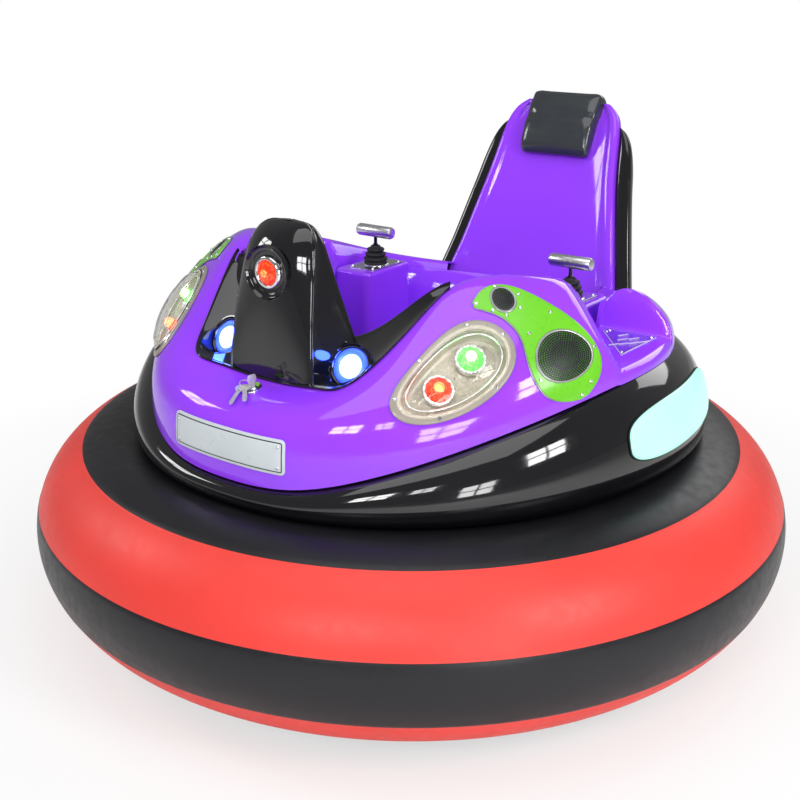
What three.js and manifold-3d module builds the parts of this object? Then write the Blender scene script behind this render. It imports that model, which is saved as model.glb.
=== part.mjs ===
// Round electric bumper car: an inflated ring bumper around a steel chassis, a glossy two-tone
// moulded body, a tall one-piece seat and two joysticks. It drives on two motor wheels and
// two swivelling casters.
// Millimetres, +Z up, the front faces -Y, +X is the driver's left. The origin is on the floor
// under the middle of the ring.
import * as THREE from 'three';
import { mergeVertices } from 'three/addons/utils/BufferGeometryUtils.js';
import Module from 'manifold-3d';

const wasm = await Module();
wasm.setup();

// ---------------------------------------------------------------- driving dimensions
const GAP = 0.3;                    // between pieces that touch
const SKIN_GAP = 0.6;               // under trim that follows a curved panel

const RING_OUTER_D = 1800;          // inflated ring, outside
const RING_SECTION_D = 408;         // thickness of the inflated ring
const RING_CLEARANCE = 46;          // floor to the underside of the ring
const RING_FACETS = 56;
const RING_SECTION_FACETS = 16;

const SHELL_WALL = 5;               // moulded body panels
const DECK_T = 4;                   // steel deck plate
const TYRE_TO_DECK = 36;            // free space over the drive tyre
const HOOP_H = 60;                  // steel hoop that the ring sits on
const HOOP_T = 5;
const BEAM = 40;                    // square frame beams under the deck
const BEAM_OFFSET = 120;            // beams left and right of the middle

const WHEEL_D = 200;                // drive wheel
const WHEEL_W = 50;
const WHEEL_X = 330;                // drive wheel centre from the middle
const RIM_D = 124;
const AXLE_D = 19;
const BORE_CLEARANCE = 0.5;         // radial, wheel on its axle
const MOTOR_D = 90;
const MOTOR_L = 130;
const BRACKET_T = 8;
const BRACKET_W = 120;

const CASTER_D = 100;               // caster wheel
const CASTER_W = 32;
const CASTER_Y = 350;               // swivel axis from the middle
const CASTER_TRAIL = 28;
const CASTER_AXLE_D = 12;
const FORK_T = 4;
const FORK_SIDE_CLEARANCE = 5;
const FORK_TOP_CLEARANCE = 8;
const KINGPIN_D = 16;
const KINGPIN_L = 36;
const PILLAR_D = 60;                // steel pillar that carries a caster
const SWIVEL_CLEARANCE = 6;         // fork to pillar

const BATTERY = { w: 330, d: 180, h: 170 };

const SEAT_SLAB = 30;               // double-skinned seat, front to back
const SEAT_RECESS = 16;             // hollow of the seat between its side bolsters
const COVER_DEPTH = 88;             // rear cover, from the seat's front face to its back
const COVER_SIDE = 40;              // rear cover, beyond each side of the seat
const COVER_FRONT = 15;             // rear cover, set back from the seat's front face
const COVER_TOP = 616;              // top of the rear cover, up from the ring's top

const CONSOLE_IN = 238;             // inner face of a joystick console, from the middle
const CONSOLE_W = 118;
const CONSOLE_FRONT = 556;          // inwards from the ring's centre circle
const CONSOLE_L = 190;
const PEDESTAL_W = 80;              // foot of the console, under its overhang
const PEDESTAL_INSET = 16;
const CONSOLE_H = 260;              // of its wide upper part
const CONSOLE_TO_LINING = 3;        // least space to the cockpit lining
const CONSOLE_TOP = 284;            // up from the ring's top
const CONSOLE_R = 18;
const STICK_IN = 54;                // joystick axis, from the console's inner face
const STICK_PLATE = { w: 84, d: 130, t: 2.5 };
const STICK_BOOT = { bottomD: 62, topD: 26, h: 50 };
const STICK_STEM_D = 9;
const STICK_GRIP = { d: 32, l: 112, up: 90 };   // up: from the console's top

// ---------------------------------------------------------------- what follows from them
const ringSectionR = RING_SECTION_D / 2;
const ringR = RING_OUTER_D / 2 - ringSectionR;          // circle through the ring's section centres
const ringZ = RING_CLEARANCE + ringSectionR;
const ringTop = ringZ + ringSectionR;
const hoopR = ringR - ringSectionR - GAP;
const deckBottom = WHEEL_D + TYRE_TO_DECK;
const deckTop = deckBottom + DECK_T;
const consoleTop = ringTop + CONSOLE_TOP;
const pedestalTop = consoleTop - CONSOLE_H;
const consoleFront = ringR - CONSOLE_FRONT;

// ---------------------------------------------------------------- finishes
const finish = (color, roughness, metalness = 0) =>
  new THREE.MeshStandardMaterial({ color, roughness, metalness });
const PURPLE = finish(0x8b3df0, 0.12);
const GLOSS_BLACK = finish(0x0b0b0e, 0.1);
const RING_RED = finish(0xe0463c, 0.45);
const RUBBER = finish(0x1a1a1c, 0.8);
const STEEL = finish(0x4a4c50, 0.5, 0.8);
const ZINC = finish(0x9a9ca0, 0.35, 0.9);
const CHROME = finish(0xd8dadd, 0.12, 1);
const GREEN = finish(0x6ccb1e, 0.35);
const LAMP_CLEAR = finish(0xa8a296, 0.1);
const LAMP_BLUE = finish(0x9fc4ff, 0.15);
const LAMP_RED = finish(0xe8421c, 0.2);
const MINT = finish(0xa4f0d4, 0.3);
const PALE = finish(0xd7dee2, 0.4);
const VINYL = finish(0x202226, 0.4);
const CASE = finish(0x2a2d33, 0.6);

// ---------------------------------------------------------------- solids
const root = new THREE.Group();

function add(name, geometry, material) {
  const mesh = new THREE.Mesh(geometry, material);
  mesh.name = name;
  root.add(mesh);
  return mesh;
}

function toSolid(geometry) {
  const bare = geometry.clone();
  for (const key of Object.keys(bare.attributes)) if (key !== 'position') bare.deleteAttribute(key);
  const merged = mergeVertices(bare, 1e-3);
  return new wasm.Manifold(new wasm.Mesh({
    numProp: 3,
    vertProperties: new Float32Array(merged.attributes.position.array),
    triVerts: new Uint32Array(merged.index.array),
  }));
}

function toGeometry(solid) {
  const { vertProperties, triVerts } = solid.getMesh();
  const geometry = new THREE.BufferGeometry();
  geometry.setAttribute('position', new THREE.BufferAttribute(new Float32Array(vertProperties), 3));
  geometry.setIndex(new THREE.BufferAttribute(new Uint32Array(triVerts), 1));
  return geometry;
}

const join = (...geometries) => toGeometry(geometries.map(toSolid).reduce((a, b) => a.add(b)));
const cut = (body, ...tools) =>
  toGeometry(tools.map(toSolid).reduce((a, b) => a.subtract(b), toSolid(body)));
const common = (a, b) => toGeometry(toSolid(a).intersect(toSolid(b)));

const mirrorX = (geometry) => {
  const copy = geometry.clone().applyMatrix4(new THREE.Matrix4().makeScale(-1, 1, 1));
  const index = copy.index.array;
  for (let i = 0; i < index.length; i += 3) [index[i], index[i + 1]] = [index[i + 1], index[i]];
  return copy;
};

const bothSides = (geometry) => [geometry, mirrorX(geometry)];

// The same piece on the driver's left (+X) and right (-X).
function addPair(name, geometry, material) {
  const plain = geometry.index ? geometry : mergeVertices(geometry);
  add(`${name}_left`, plain, material);
  add(`${name}_right`, mirrorX(plain), material);
}

function box(x0, x1, y0, y1, z0, z1) {
  const geometry = new THREE.BoxGeometry(x1 - x0, y1 - y0, z1 - z0);
  return geometry.translate((x0 + x1) / 2, (y0 + y1) / 2, (z0 + z1) / 2);
}

// Cylinder from z0 to z1 on a vertical axis.
function post(d, z0, z1, x = 0, y = 0, facets = 24) {
  const geometry = new THREE.CylinderGeometry(d / 2, d / 2, z1 - z0, facets);
  return geometry.rotateX(Math.PI / 2).translate(x, y, (z0 + z1) / 2);
}

// Cylinder from x0 to x1 on an axis along X.
function rod(d, x0, x1, y, z, facets = 24) {
  const geometry = new THREE.CylinderGeometry(d / 2, d / 2, x1 - x0, facets);
  return geometry.rotateZ(Math.PI / 2).translate((x0 + x1) / 2, y, z);
}

// Turned piece: [radius, height] points around the Z axis.
function turned(points, facets = 32) {
  const profile = points.map(([r, z]) => new THREE.Vector2(r, z));
  const lathe = bareOf(new THREE.LatheGeometry(profile, facets));
  const geometry = mergeVertices(lathe, 1e-3).rotateX(Math.PI / 2);
  return outward(geometry.attributes.position.array, Array.from(geometry.index.array));
}

function bareOf(geometry) {
  geometry.deleteAttribute('normal');
  geometry.deleteAttribute('uv');
  return geometry;
}

// Solid skinned over rows of points. A closed skin runs round to its first row, an open one is capped.
function skin(rows, closed = false) {
  const count = rows[0].length;
  const positions = rows.flat().flatMap((p) => [p.x, p.y, p.z]);
  const triangles = [];
  const last = closed ? rows.length : rows.length - 1;
  for (let i = 0; i < last; i++) {
    const next = (i + 1) % rows.length;
    for (let j = 0; j < count; j++) {
      const k = (j + 1) % count;
      const [a, b, c, d] = [i * count + j, i * count + k, next * count + k, next * count + j];
      triangles.push(a, b, c, a, c, d);
    }
  }
  if (!closed) {
    const shift = (rows.length - 1) * count;
    triangles.push(...endCap(rows[0]).reverse(), ...endCap(rows.at(-1)).map((i) => i + shift));
  }
  return outward(positions, triangles);
}

// Triangles over a flat loop of points, in the loop's own turning sense.
function endCap(loop) {
  const normal = new THREE.Vector3();
  loop.forEach((p, i) => normal.add(p.clone().cross(loop[(i + 1) % loop.length])));
  const turn = new THREE.Quaternion().setFromUnitVectors(normal.normalize(), new THREE.Vector3(0, 0, 1));
  const flat = loop.map((p) => p.clone().applyQuaternion(turn));
  const area = (a, b, c) => (b.x - a.x) * (c.y - a.y) - (b.y - a.y) * (c.x - a.x);
  const left = loop.map((_, i) => i);
  const triangles = [];
  while (left.length > 2) {
    const corners = left.map((_, i) => [0, 1, 2].map((k) => left[(i + k) % left.length]));
    const ears = corners.filter((ear) => {
      const [a, b, c] = ear.map((i) => flat[i]);
      const inside = (p) => area(a, b, p) > -1e-6 && area(b, c, p) > -1e-6 && area(c, a, p) > -1e-6;
      return area(a, b, c) > 1e-6 && !left.some((i) => !ear.includes(i) && inside(flat[i]));
    });
    const span = ([a, , c]) => flat[a].distanceTo(flat[c]);
    const [ear = left.slice(0, 3)] = ears.sort((p, q) => span(p) - span(q));
    triangles.push(...ear);
    left.splice(left.indexOf(ear[1]), 1);
  }
  return triangles;
}

// Mesh of these points and triangles, with its faces turned outwards.
function outward(positions, triangles) {
  const geometry = new THREE.BufferGeometry();
  geometry.setAttribute('position', new THREE.Float32BufferAttribute(positions, 3));
  if (volumeOf(positions, triangles) < 0) triangles.reverse();
  geometry.setIndex(triangles);
  const merged = mergeVertices(geometry, 1e-3);
  const index = Array.from(merged.index.array);
  merged.setIndex(index.filter((_, i) => !isFlat(index, i - (i % 3))));
  return merged;
}

// A triangle whose corners have merged.
const isFlat = (index, i) => {
  const [a, b, c] = index.slice(i, i + 3);
  return a === b || b === c || c === a;
};

function volumeOf(positions, triangles) {
  const at = (i) => new THREE.Vector3(positions[3 * i], positions[3 * i + 1], positions[3 * i + 2]);
  let sum = 0;
  for (let i = 0; i < triangles.length; i += 3) {
    const [a, b, c] = triangles.slice(i, i + 3).map(at);
    sum += a.dot(b.cross(c)) / 6;
  }
  return sum;
}

// ---------------------------------------------------------------- smooth sections
const blend = (p, q, r, s, t) =>
  ((1 - t) ** 3 * p + (3 * t ** 3 - 6 * t * t + 4) * q
    + (-3 * t ** 3 + 3 * t * t + 3 * t + 1) * r + t ** 3 * s) / 6;

// Point on the smooth curve drawn by control points, from 0 to their number less one.
function along(points, t) {
  const n = points.length - 1;
  const i = Math.min(Math.floor(t), n - 1);
  const past = (a, b) => a.map((v, k) => 2 * v - b[k]);
  const at = (j) => (j < 0 ? past(points[0], points[1]) : j > n ? past(points[n], points[n - 1]) : points[j]);
  return at(0).map((_, k) => blend(at(i - 1)[k], at(i)[k], at(i + 1)[k], at(i + 2)[k], t - i));
}

// The moulded panels are drawn as sections every 15 degrees from the front (0) to the rear (180),
// the same on both sides. Each point is [inwards from the ring's centre circle, up from its top].
const SECTION_STEP = 15;
const BODY_SECTIONS = [
  [[62, 48], [62, 106], [68, 176], [98, 202], [144, 210], [186, 215], [210, 217], [230, 217]],
  [[50, 53], [50, 112], [58, 182], [90, 210], [136, 220], [180, 226], [204, 228], [224, 228]],
  [[68, 99], [66, 152], [82, 210], [122, 248], [166, 278], [204, 296], [226, 298], [244, 292]],
  [[96, 142], [98, 190], [128, 248], [176, 304], [230, 362], [278, 418], [310, 428], [336, 396]],
  [[98, 186], [99, 232], [126, 284], [172, 336], [226, 388], [282, 438], [320, 442], [344, 408]],
  [[96, 218], [97, 258], [116, 306], [154, 354], [202, 396], [260, 432], [302, 432], [328, 398]],
  [[91, 230], [92, 264], [106, 302], [136, 340], [180, 378], [232, 402], [276, 398], [306, 368]],
  [[84, 222], [85, 250], [96, 284], [122, 318], [160, 352], [206, 372], [248, 366], [278, 338]],
  [[78, 214], [80, 236], [92, 264], [116, 292], [148, 318], [184, 332], [216, 324], [238, 302]],
  [[78, 210], [80, 226], [90, 244], [108, 260], [130, 274], [152, 280], [170, 274], [182, 258]],
  [[81, 208], [83, 218], [91, 230], [104, 240], [120, 248], [134, 250], [144, 244], [152, 230]],
  [[84, 208], [86, 216], [92, 226], [102, 234], [116, 240], [128, 242], [140, 236], [148, 224]],
  [[84, 208], [86, 216], [92, 226], [102, 234], [114, 240], [126, 242], [138, 236], [146, 224]],
];
const SKIRT_SECTIONS = [
  [[62, 48], [44, 40], [38, 22], [46, 2], [70, -14]],
  [[50, 53], [32, 43], [25, 24], [36, 1], [64, -12]],
  [[68, 99], [44, 84], [30, 51], [34, 12], [62, -8]],
  [[96, 142], [64, 126], [36, 81], [32, 26], [56, -4]],
  [[98, 186], [62, 164], [34, 106], [28, 41], [48, 4]],
  [[96, 218], [58, 191], [30, 126], [22, 51], [38, 11]],
  [[91, 230], [53, 201], [24, 136], [12, 56], [22, 16]],
  [[84, 222], [46, 196], [14, 136], [0, 61], [2, 21]],
  [[78, 214], [42, 188], [8, 131], [-8, 61], [-8, 21]],
  [[78, 210], [44, 182], [10, 128], [-10, 60], [-10, 21]],
  [[81, 208], [46, 180], [11, 126], [-10, 60], [-10, 21]],
  [[84, 208], [48, 180], [12, 126], [-10, 60], [-10, 21]],
  [[84, 208], [48, 180], [12, 126], [-10, 60], [-10, 21]],
];
const SKIRT_FOOT = [96, 94, 90, 85, 76, 62, 46, 16, -4, -6, -6, -6, -6];   // inwards, where it meets the ring
const SKIRT_LIP = 8;                // skirt, in under the body's lower edge
const FOOT_GAP = 1.2;               // skirt over the faceted ring

// Top of the inflated ring's skin, inwards from its centre circle.
const ringSkinZ = (inwards) => Math.sqrt(ringSectionR ** 2 - inwards ** 2) - ringSectionR;

// The skirt from its foot on the ring up to the lip under the body.
const skirtSections = SKIRT_SECTIONS.map(([[lipIn, lipUp], ...rest], i) => [
  [SKIRT_FOOT[i], ringSkinZ(SKIRT_FOOT[i]) + FOOT_GAP],
  ...rest.reverse(),
  [lipIn + SKIRT_LIP, lipUp - GAP],
]);

// One section at any angle, as [radius, height].
function sectionAt(sections, degrees) {
  const turn = Math.abs(((degrees + 540) % 360) - 180);
  const last = sections.length - 1;
  const i = Math.min(Math.floor(turn / SECTION_STEP), last - 1);
  const fold = (j) => sections[j < 0 ? -j : j > last ? 2 * last - j : j];
  const t = turn / SECTION_STEP - i;
  return sections[0].map((_, p) => {
    const [inwards, up] = [0, 1].map((k) =>
      blend(fold(i - 1)[p][k], fold(i)[p][k], fold(i + 1)[p][k], fold(i + 2)[p][k], t));
    return [ringR - inwards, ringTop + up];
  });
}

const polar = (radius, degrees, z) => {
  const a = THREE.MathUtils.degToRad(degrees);
  return new THREE.Vector3(radius * Math.sin(a), -radius * Math.cos(a), z);
};

// Point and outward normal of a panel's outer face.
function panelAt(sections, degrees, t) {
  const point = (d, s) => {
    const [r, z] = along(sectionAt(sections, d), s);
    return polar(r, d, z);
  };
  const step = 0.01;
  const last = sections[0].length - 1;
  const s = Math.min(Math.max(t, step), last - step);
  const across = point(degrees + step, s).sub(point(degrees - step, s));
  const up = point(degrees, s + step).sub(point(degrees, s - step));
  return { point: point(degrees, s), normal: across.cross(up).normalize() };
}

// Shell of even thickness that follows the sections all round.
function panelShell(sections, angles, steps, wall) {
  const last = sections[0].length - 1;
  const rows = angles.map((degrees) => {
    const points = sectionAt(sections, degrees);
    const outer = [];
    const inner = [];
    for (let k = 0; k <= steps; k++) {
      const t = (last * k) / steps;
      const [r, z] = along(points, t);
      const [r0, z0] = along(points, Math.max(t - 0.02, 0));
      const [r1, z1] = along(points, Math.min(t + 0.02, last));
      const length = Math.hypot(r1 - r0, z1 - z0);
      outer.push(polar(r, degrees, z));
      inner.unshift(polar(r - (wall * (z1 - z0)) / length, degrees, z + (wall * (r1 - r0)) / length));
    }
    return [...outer, ...inner];
  });
  return skin(rows, true);
}

const everyDegrees = (step) => Array.from({ length: 360 / step }, (_, i) => i * step);

// Piece that lies on a panel. place(u, v) is a point on the panel, u along it and v up it, in mm
// from the piece's middle; the piece fills from height low to height high(u, v) above it.
function panelFrame(sections, degrees, t, tilt = 0) {
  const [r] = along(sectionAt(sections, degrees), t);
  const [above, under] = [t + 0.1, t - 0.1].map((s) => panelAt(sections, degrees, s).point);
  const rise = above.distanceTo(under) / 0.2;
  const [cos, sin] = [Math.cos(tilt), Math.sin(tilt)];
  return (u, v, height) => {
    const [a, b] = [u * cos - v * sin, u * sin + v * cos];
    const turn = THREE.MathUtils.radToDeg(a / r);
    const { point, normal } = panelAt(sections, degrees + turn, t + b / rise);
    return point.addScaledVector(normal, height);
  };
}

// Oval piece on a panel: a closed section of [share of the outline, height above the panel] is
// carried round the outline. Shares of 0 lie on its middle.
function patch(place, outline, section) {
  return skin(outline.map(([u, v]) => section.map(([f, h]) => place(u * f, v * f, h))), true);
}

// Long piece on a panel: stations of [along, up, half width] across its run.
function band(place, stations, shares, low, high) {
  const last = stations.length - 1;
  const rows = stations.map(([u, v, w], i) => {
    const [u0, v0] = stations[Math.max(i - 1, 0)];
    const [u1, v1] = stations[Math.min(i + 1, last)];
    const length = Math.hypot(u1 - u0, v1 - v0);
    const across = (f) => [u - (f * w * (v1 - v0)) / length, v + (f * w * (u1 - u0)) / length];
    const end = i === 0 || i === last ? 1 : 0;
    return [
      ...shares.map((f) => place(...across(f), low)),
      ...[...shares].reverse().map((f) => place(...across(f), high(f, end))),
    ];
  });
  return skin(rows);
}

const oval = (a, b, count = 32, power = 2) => Array.from({ length: count }, (_, i) => {
  const angle = (2 * Math.PI * i) / count;
  const shape = (w) => Math.sign(w) * Math.abs(w) ** (2 / power);
  return [a * shape(Math.cos(angle)), b * shape(Math.sin(angle))];
});

// ---------------------------------------------------------------- ring and chassis
function bumperTube(grow = 0) {
  const r = ringSectionR + grow;
  const profile = Array.from({ length: RING_SECTION_FACETS + 1 }, (_, i) => {
    const angle = Math.PI + (2 * Math.PI * i) / RING_SECTION_FACETS;
    return [ringR + r * Math.cos(angle), ringZ + r * Math.sin(angle)];
  });
  return turned(profile, RING_FACETS);
}

const wheelZ = WHEEL_D / 2;
const casterWheelZ = CASTER_D / 2;
const forkTop = CASTER_D + FORK_TOP_CLEARANCE + FORK_T;
const pillarBottom = forkTop + SWIVEL_CLEARANCE;
const kingpinTop = forkTop + KINGPIN_L;

function chassisFrame() {
  const hoopInner = hoopR - HOOP_T;
  const tray = turned([
    [0, deckBottom], [hoopInner, deckBottom], [hoopInner, ringZ - HOOP_H / 2],
    [hoopR, ringZ - HOOP_H / 2], [hoopR, ringZ + HOOP_H / 2], [hoopInner, ringZ + HOOP_H / 2],
    [hoopInner, deckTop], [0, deckTop],
  ], RING_FACETS);
  const beamBottom = deckBottom - BEAM;
  const half = BEAM / 2;
  const beamEnd = Math.sqrt((hoopInner - 10) ** 2 - (BEAM_OFFSET + half) ** 2);
  const beams = [-BEAM_OFFSET, BEAM_OFFSET].map((x) =>
    box(x - half, x + half, -beamEnd, beamEnd, beamBottom, deckBottom));
  const innerBeam = BEAM_OFFSET - half;
  const crossBeams = [-CASTER_Y, CASTER_Y].map((y) =>
    box(-innerBeam, innerBeam, y - half, y + half, beamBottom, deckBottom));
  const pillars = [-CASTER_Y, CASTER_Y].map((y) => post(PILLAR_D, pillarBottom, deckBottom, 0, y));
  const bores = [-CASTER_Y, CASTER_Y].map((y) =>
    post(KINGPIN_D + 2 * BORE_CLEARANCE, pillarBottom - 1, kingpinTop + 2, 0, y));
  return cut(join(tray, ...beams, ...crossBeams, ...pillars), ...bores);
}

const bracketOut = WHEEL_X - WHEEL_W / 2 - 10;
const bracketIn = bracketOut - BRACKET_T;

// Gear motor on its bracket, with the axle that carries the drive wheel.
function driveMotor() {
  const axleEnd = WHEEL_X + WHEEL_W / 2 + 10;
  const flange = box(bracketIn - 50, bracketOut, -BRACKET_W / 2, BRACKET_W / 2,
    deckBottom - GAP - BRACKET_T, deckBottom - GAP);
  const plate = box(bracketIn, bracketOut, -BRACKET_W / 2, BRACKET_W / 2,
    wheelZ - MOTOR_D / 2, deckBottom - GAP);
  const motor = rod(MOTOR_D, bracketIn - MOTOR_L, bracketIn, 0, wheelZ, 32);
  const gearbox = rod(MOTOR_D + 14, bracketIn - 26, bracketIn, 0, wheelZ, 32);
  const axle = rod(AXLE_D, bracketIn, axleEnd, 0, wheelZ);
  const nut = rod(AXLE_D + 14, axleEnd - 8, axleEnd, 0, wheelZ, 6);
  return join(flange, plate, motor, gearbox, axle, nut);
}

const asWheel = (geometry, x, y, z) => geometry.rotateY(Math.PI / 2).translate(x, y, z);

function driveTyre() {
  const inner = RIM_D / 2 + GAP;
  const [w, r] = [WHEEL_W / 2, WHEEL_D / 2];
  const profile = [
    [inner, -w + 2], [inner + 14, -w], [r - 9, -w + 1], [r - 1, -w + 8],
    [r, 0], [r - 1, w - 8], [r - 9, w - 1], [inner + 14, w], [inner, w - 2], [inner, -w + 2],
  ];
  return asWheel(turned(profile, 24), WHEEL_X, 0, wheelZ);
}

function driveHub() {
  const bore = AXLE_D / 2 + BORE_CLEARANCE;
  const [r, w] = [RIM_D / 2, WHEEL_W / 2 - 3];
  const profile = [
    [bore, -w], [bore + 16, -w], [bore + 19, -7], [r - 9, -7], [r - 6, -w], [r, -w],
    [r, w], [r - 6, w], [r - 9, 7], [bore + 19, 7], [bore + 16, w], [bore, w], [bore, -w],
  ];
  return asWheel(turned(profile, 24), WHEEL_X, 0, wheelZ);
}

function casterFork(y) {
  const inside = CASTER_W / 2 + FORK_SIDE_CLEARANCE;
  const outside = inside + FORK_T;
  const axleY = y + CASTER_TRAIL;
  const underside = forkTop - FORK_T;
  const cheek = (x0, x1) => join(
    box(x0, x1, y - 20, axleY + 10, casterWheelZ + 18, forkTop),
    box(x0, x1, axleY - 16, axleY + 16, casterWheelZ - 14, casterWheelZ + 24));
  return join(
    cheek(inside, outside), cheek(-outside, -inside),
    box(-outside, outside, y - 30, axleY + 10, underside, forkTop),
    post(PILLAR_D - 8, underside, forkTop, 0, y),
    post(KINGPIN_D, underside, kingpinTop, 0, y),
    rod(CASTER_AXLE_D, -outside - 4, outside + 4, axleY, casterWheelZ));
}

function casterWheel(y) {
  const bore = CASTER_AXLE_D / 2 + BORE_CLEARANCE;
  const [r, w] = [CASTER_D / 2, CASTER_W / 2];
  const profile = [
    [bore, -w], [bore + 9, -w], [bore + 11, -8], [r - 17, -8], [r - 14, -w], [r - 5, -w],
    [r, -w + 6], [r, w - 6], [r - 5, w], [r - 14, w], [r - 17, 8], [bore + 11, 8], [bore + 9, w],
    [bore, w], [bore, -w],
  ];
  return asWheel(turned(profile, 16), 0, y + CASTER_TRAIL, casterWheelZ);
}

// ---------------------------------------------------------------- seat
// Front face of the seat in side view, as [y, z, half width], from the foot of the seat box up over
// the pan and up the backrest. Heights and depths run from the ring's centre circle and the floor.
const rear = (y) => ringR - y;      // a distance in from the ring's centre circle, at the rear
const PAN_HALF = CONSOLE_IN - GAP;
const SEAT_PATH = [
  [rear(568), deckTop + GAP, PAN_HALF], [rear(568), deckTop + 90, PAN_HALF],
  [rear(566), deckTop + 180, PAN_HALF], [rear(556), deckTop + 236, PAN_HALF],
  [rear(470), deckTop + 228, PAN_HALF], [rear(370), deckTop + 212, PAN_HALF],
  [rear(280), deckTop + 200, PAN_HALF], [rear(234), deckTop + 222, PAN_HALF], [rear(206), ringTop + 106, 258],
  [rear(178), ringTop + 206, 268], [rear(144), ringTop + 284, 242], [rear(116), ringTop + 368, 222],
  [rear(92), ringTop + 436, 206], [rear(68), ringTop + 500, 191], [rear(44), ringTop + 564, 180],
  [rear(18), ringTop + 626, 173], [rear(-8), ringTop + 670, 155], [rear(-22), ringTop + 686, 128],
];
const SEAT_LAST = SEAT_PATH.length - 1;

// Frame on the seat's path: x across, depth from the front face towards the back.
function seatFrame(t, grow = 0) {
  const [y, z, half] = along(SEAT_PATH, t);
  const [y0, z0] = along(SEAT_PATH, Math.max(t - 0.05, 0));
  const [y1, z1] = along(SEAT_PATH, Math.min(t + 0.05, SEAT_LAST));
  const length = Math.hypot(y1 - y0, z1 - z0);
  const [ny, nz] = [(z1 - z0) / length, -(y1 - y0) / length];
  const slip = (t === 0 ? -grow : 0) + (t === SEAT_LAST ? grow : 0);
  const at = (x, depth) => new THREE.Vector3(x, y + ny * depth - nz * slip, z + nz * depth + ny * slip);
  return { half: half + grow, at };
}

const both = (points) => [
  ...points.map(([x, d]) => [-x, d]),
  ...points.slice(0, -1).reverse(),
];

// Slab with rolled side bolsters; grow makes the same slab larger all round, to cut its neighbours.
function seatSlab(grow = 0) {
  const steps = 2 * SEAT_LAST;
  const rows = Array.from({ length: steps + 1 }, (_, i) => {
    const { half: w, at } = seatFrame((SEAT_LAST * i) / steps, grow);
    const front = both([[w, 12], [w - 2, 3 - grow], [w - 12, -grow], [w - 26 - 2 * grow, 2 - grow],
      [0.78 * (w - grow) - grow, 9 - grow], [0.45 * w, SEAT_RECESS - 1 - grow], [0, SEAT_RECESS - grow]]);
    const back = both([[0, SEAT_SLAB + grow], [w - 3, SEAT_SLAB + grow], [w, SEAT_SLAB - 6]].reverse());
    return [...front, ...back.reverse()].map(([x, d]) => at(x, d));
  });
  return skin(rows);
}

// Backrest stations of the rear cover, from its foot on the skirt to its rounded top.
function coverBlock(inset, bottomT, topT) {
  const stations = [0, 0.15, 0.3, 0.45, 0.6, 0.75, 0.86, 0.94, 0.98, 1];
  const rows = stations.map((f) => {
    const { half: w, at } = seatFrame(bottomT + (topT - bottomT) * f);
    const round = Math.sqrt(Math.max(1 - Math.max(f - 0.8, 0) ** 2 * 24, 0));
    const side = w + (COVER_SIDE - inset) * round;
    const deep = SEAT_SLAB + (COVER_DEPTH - SEAT_SLAB - inset) * round;
    const front = COVER_FRONT + inset;
    return both([
      [0, front + 10], [w - 8, front + 10], [w - 3, front],
      [Math.max(side - 9, w - 2), front], [side, front + 10],
      [side - 1, front + (deep - front) * 0.5], [side - 24, front + (deep - front) * 0.8],
      [0.5 * w, deep - 3], [0, deep],
    ]).slice(0, -1).map(([x, d]) => at(x, d));
  });
  return skin(rows);
}

const COVER_FOOT_T = 8.6;
const COVER_CLEARANCE = 3;          // body opening round the rear cover
const coverTopT = SEAT_PATH.findIndex(([, z]) => z > ringTop + COVER_TOP);
const coverFootZ = ringTop + BODY_SECTIONS.at(-1)[0][1] + GAP;
const below = (z) => box(-RING_OUTER_D, RING_OUTER_D, -RING_OUTER_D, RING_OUTER_D, z - 1000, z);

function seatBackCover() {
  const inside = coverBlock(SHELL_WALL, COVER_FOOT_T - 1, coverTopT - 0.4);
  const shell = cut(coverBlock(0, COVER_FOOT_T, coverTopT), inside);
  return largest(cut(shell, seatSlab(GAP), below(coverFootZ)));
}

// Slip-over pad round the top of the backrest.
const PAD_HALF = 107;
function headrest() {
  const face = (t, depth) => seatFrame(t).at(0, depth);
  const low = 13.7;
  const outline = [
    face(low, SEAT_RECESS - 4), face(low, -14), face(low + 0.9, -26), face(low + 1.3, -30),
    face(low + 2.6, -22), face(SEAT_LAST, -12).add(new THREE.Vector3(0, 8, 30)),
    face(SEAT_LAST, SEAT_SLAB + 4).add(new THREE.Vector3(0, 14, 34)),
    face(low + 2.6, SEAT_SLAB + 34), face(low + 1.6, SEAT_SLAB + 30), face(low + 1.4, SEAT_SLAB + 2),
  ];
  const rows = [[-PAD_HALF, 0.93], [-PAD_HALF + 8, 1], [PAD_HALF - 8, 1], [PAD_HALF, 0.93]].map(([x, f]) => {
    const middle = outline.reduce((m, q) => m.add(q), new THREE.Vector3()).divideScalar(outline.length);
    return outline.map((q) => q.clone().lerp(middle, 1 - f).setX(x));
  });
  return cut(skin(rows), seatSlab(2 * GAP), coverBlock(-SKIN_GAP, COVER_FOOT_T, coverTopT + 0.05));
}

// ---------------------------------------------------------------- body panels
const BODY_ANGLES = everyDegrees(7.5);
const BODY_STEPS = 10;
const SKIRT_STEPS = 7;

const NOTCH_FLOOR = 246;            // boarding step, up from the ring's top

const sectionT = (sections, degrees, test) => {
  const last = sections[0].length - 1;
  let [low, high] = [0, last];
  for (let i = 0; i < 24; i++) {
    const middle = (low + high) / 2;
    const [r, z] = along(sectionAt(sections, degrees), middle);
    if (test(ringR - r, z - ringTop)) high = middle;
    else low = middle;
  }
  return (low + high) / 2;
};

// Prism over an outline in plan.
function prism(points, z0, z1) {
  return skin([z0, z1].map((z) => points.map(([x, y]) => new THREE.Vector3(x, y, z))));
}

const STEP_Z = ringTop + NOTCH_FLOOR;
const STEP_LEAN = 0.55;              // slope of the step's front wall, forward for each mm up

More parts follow.
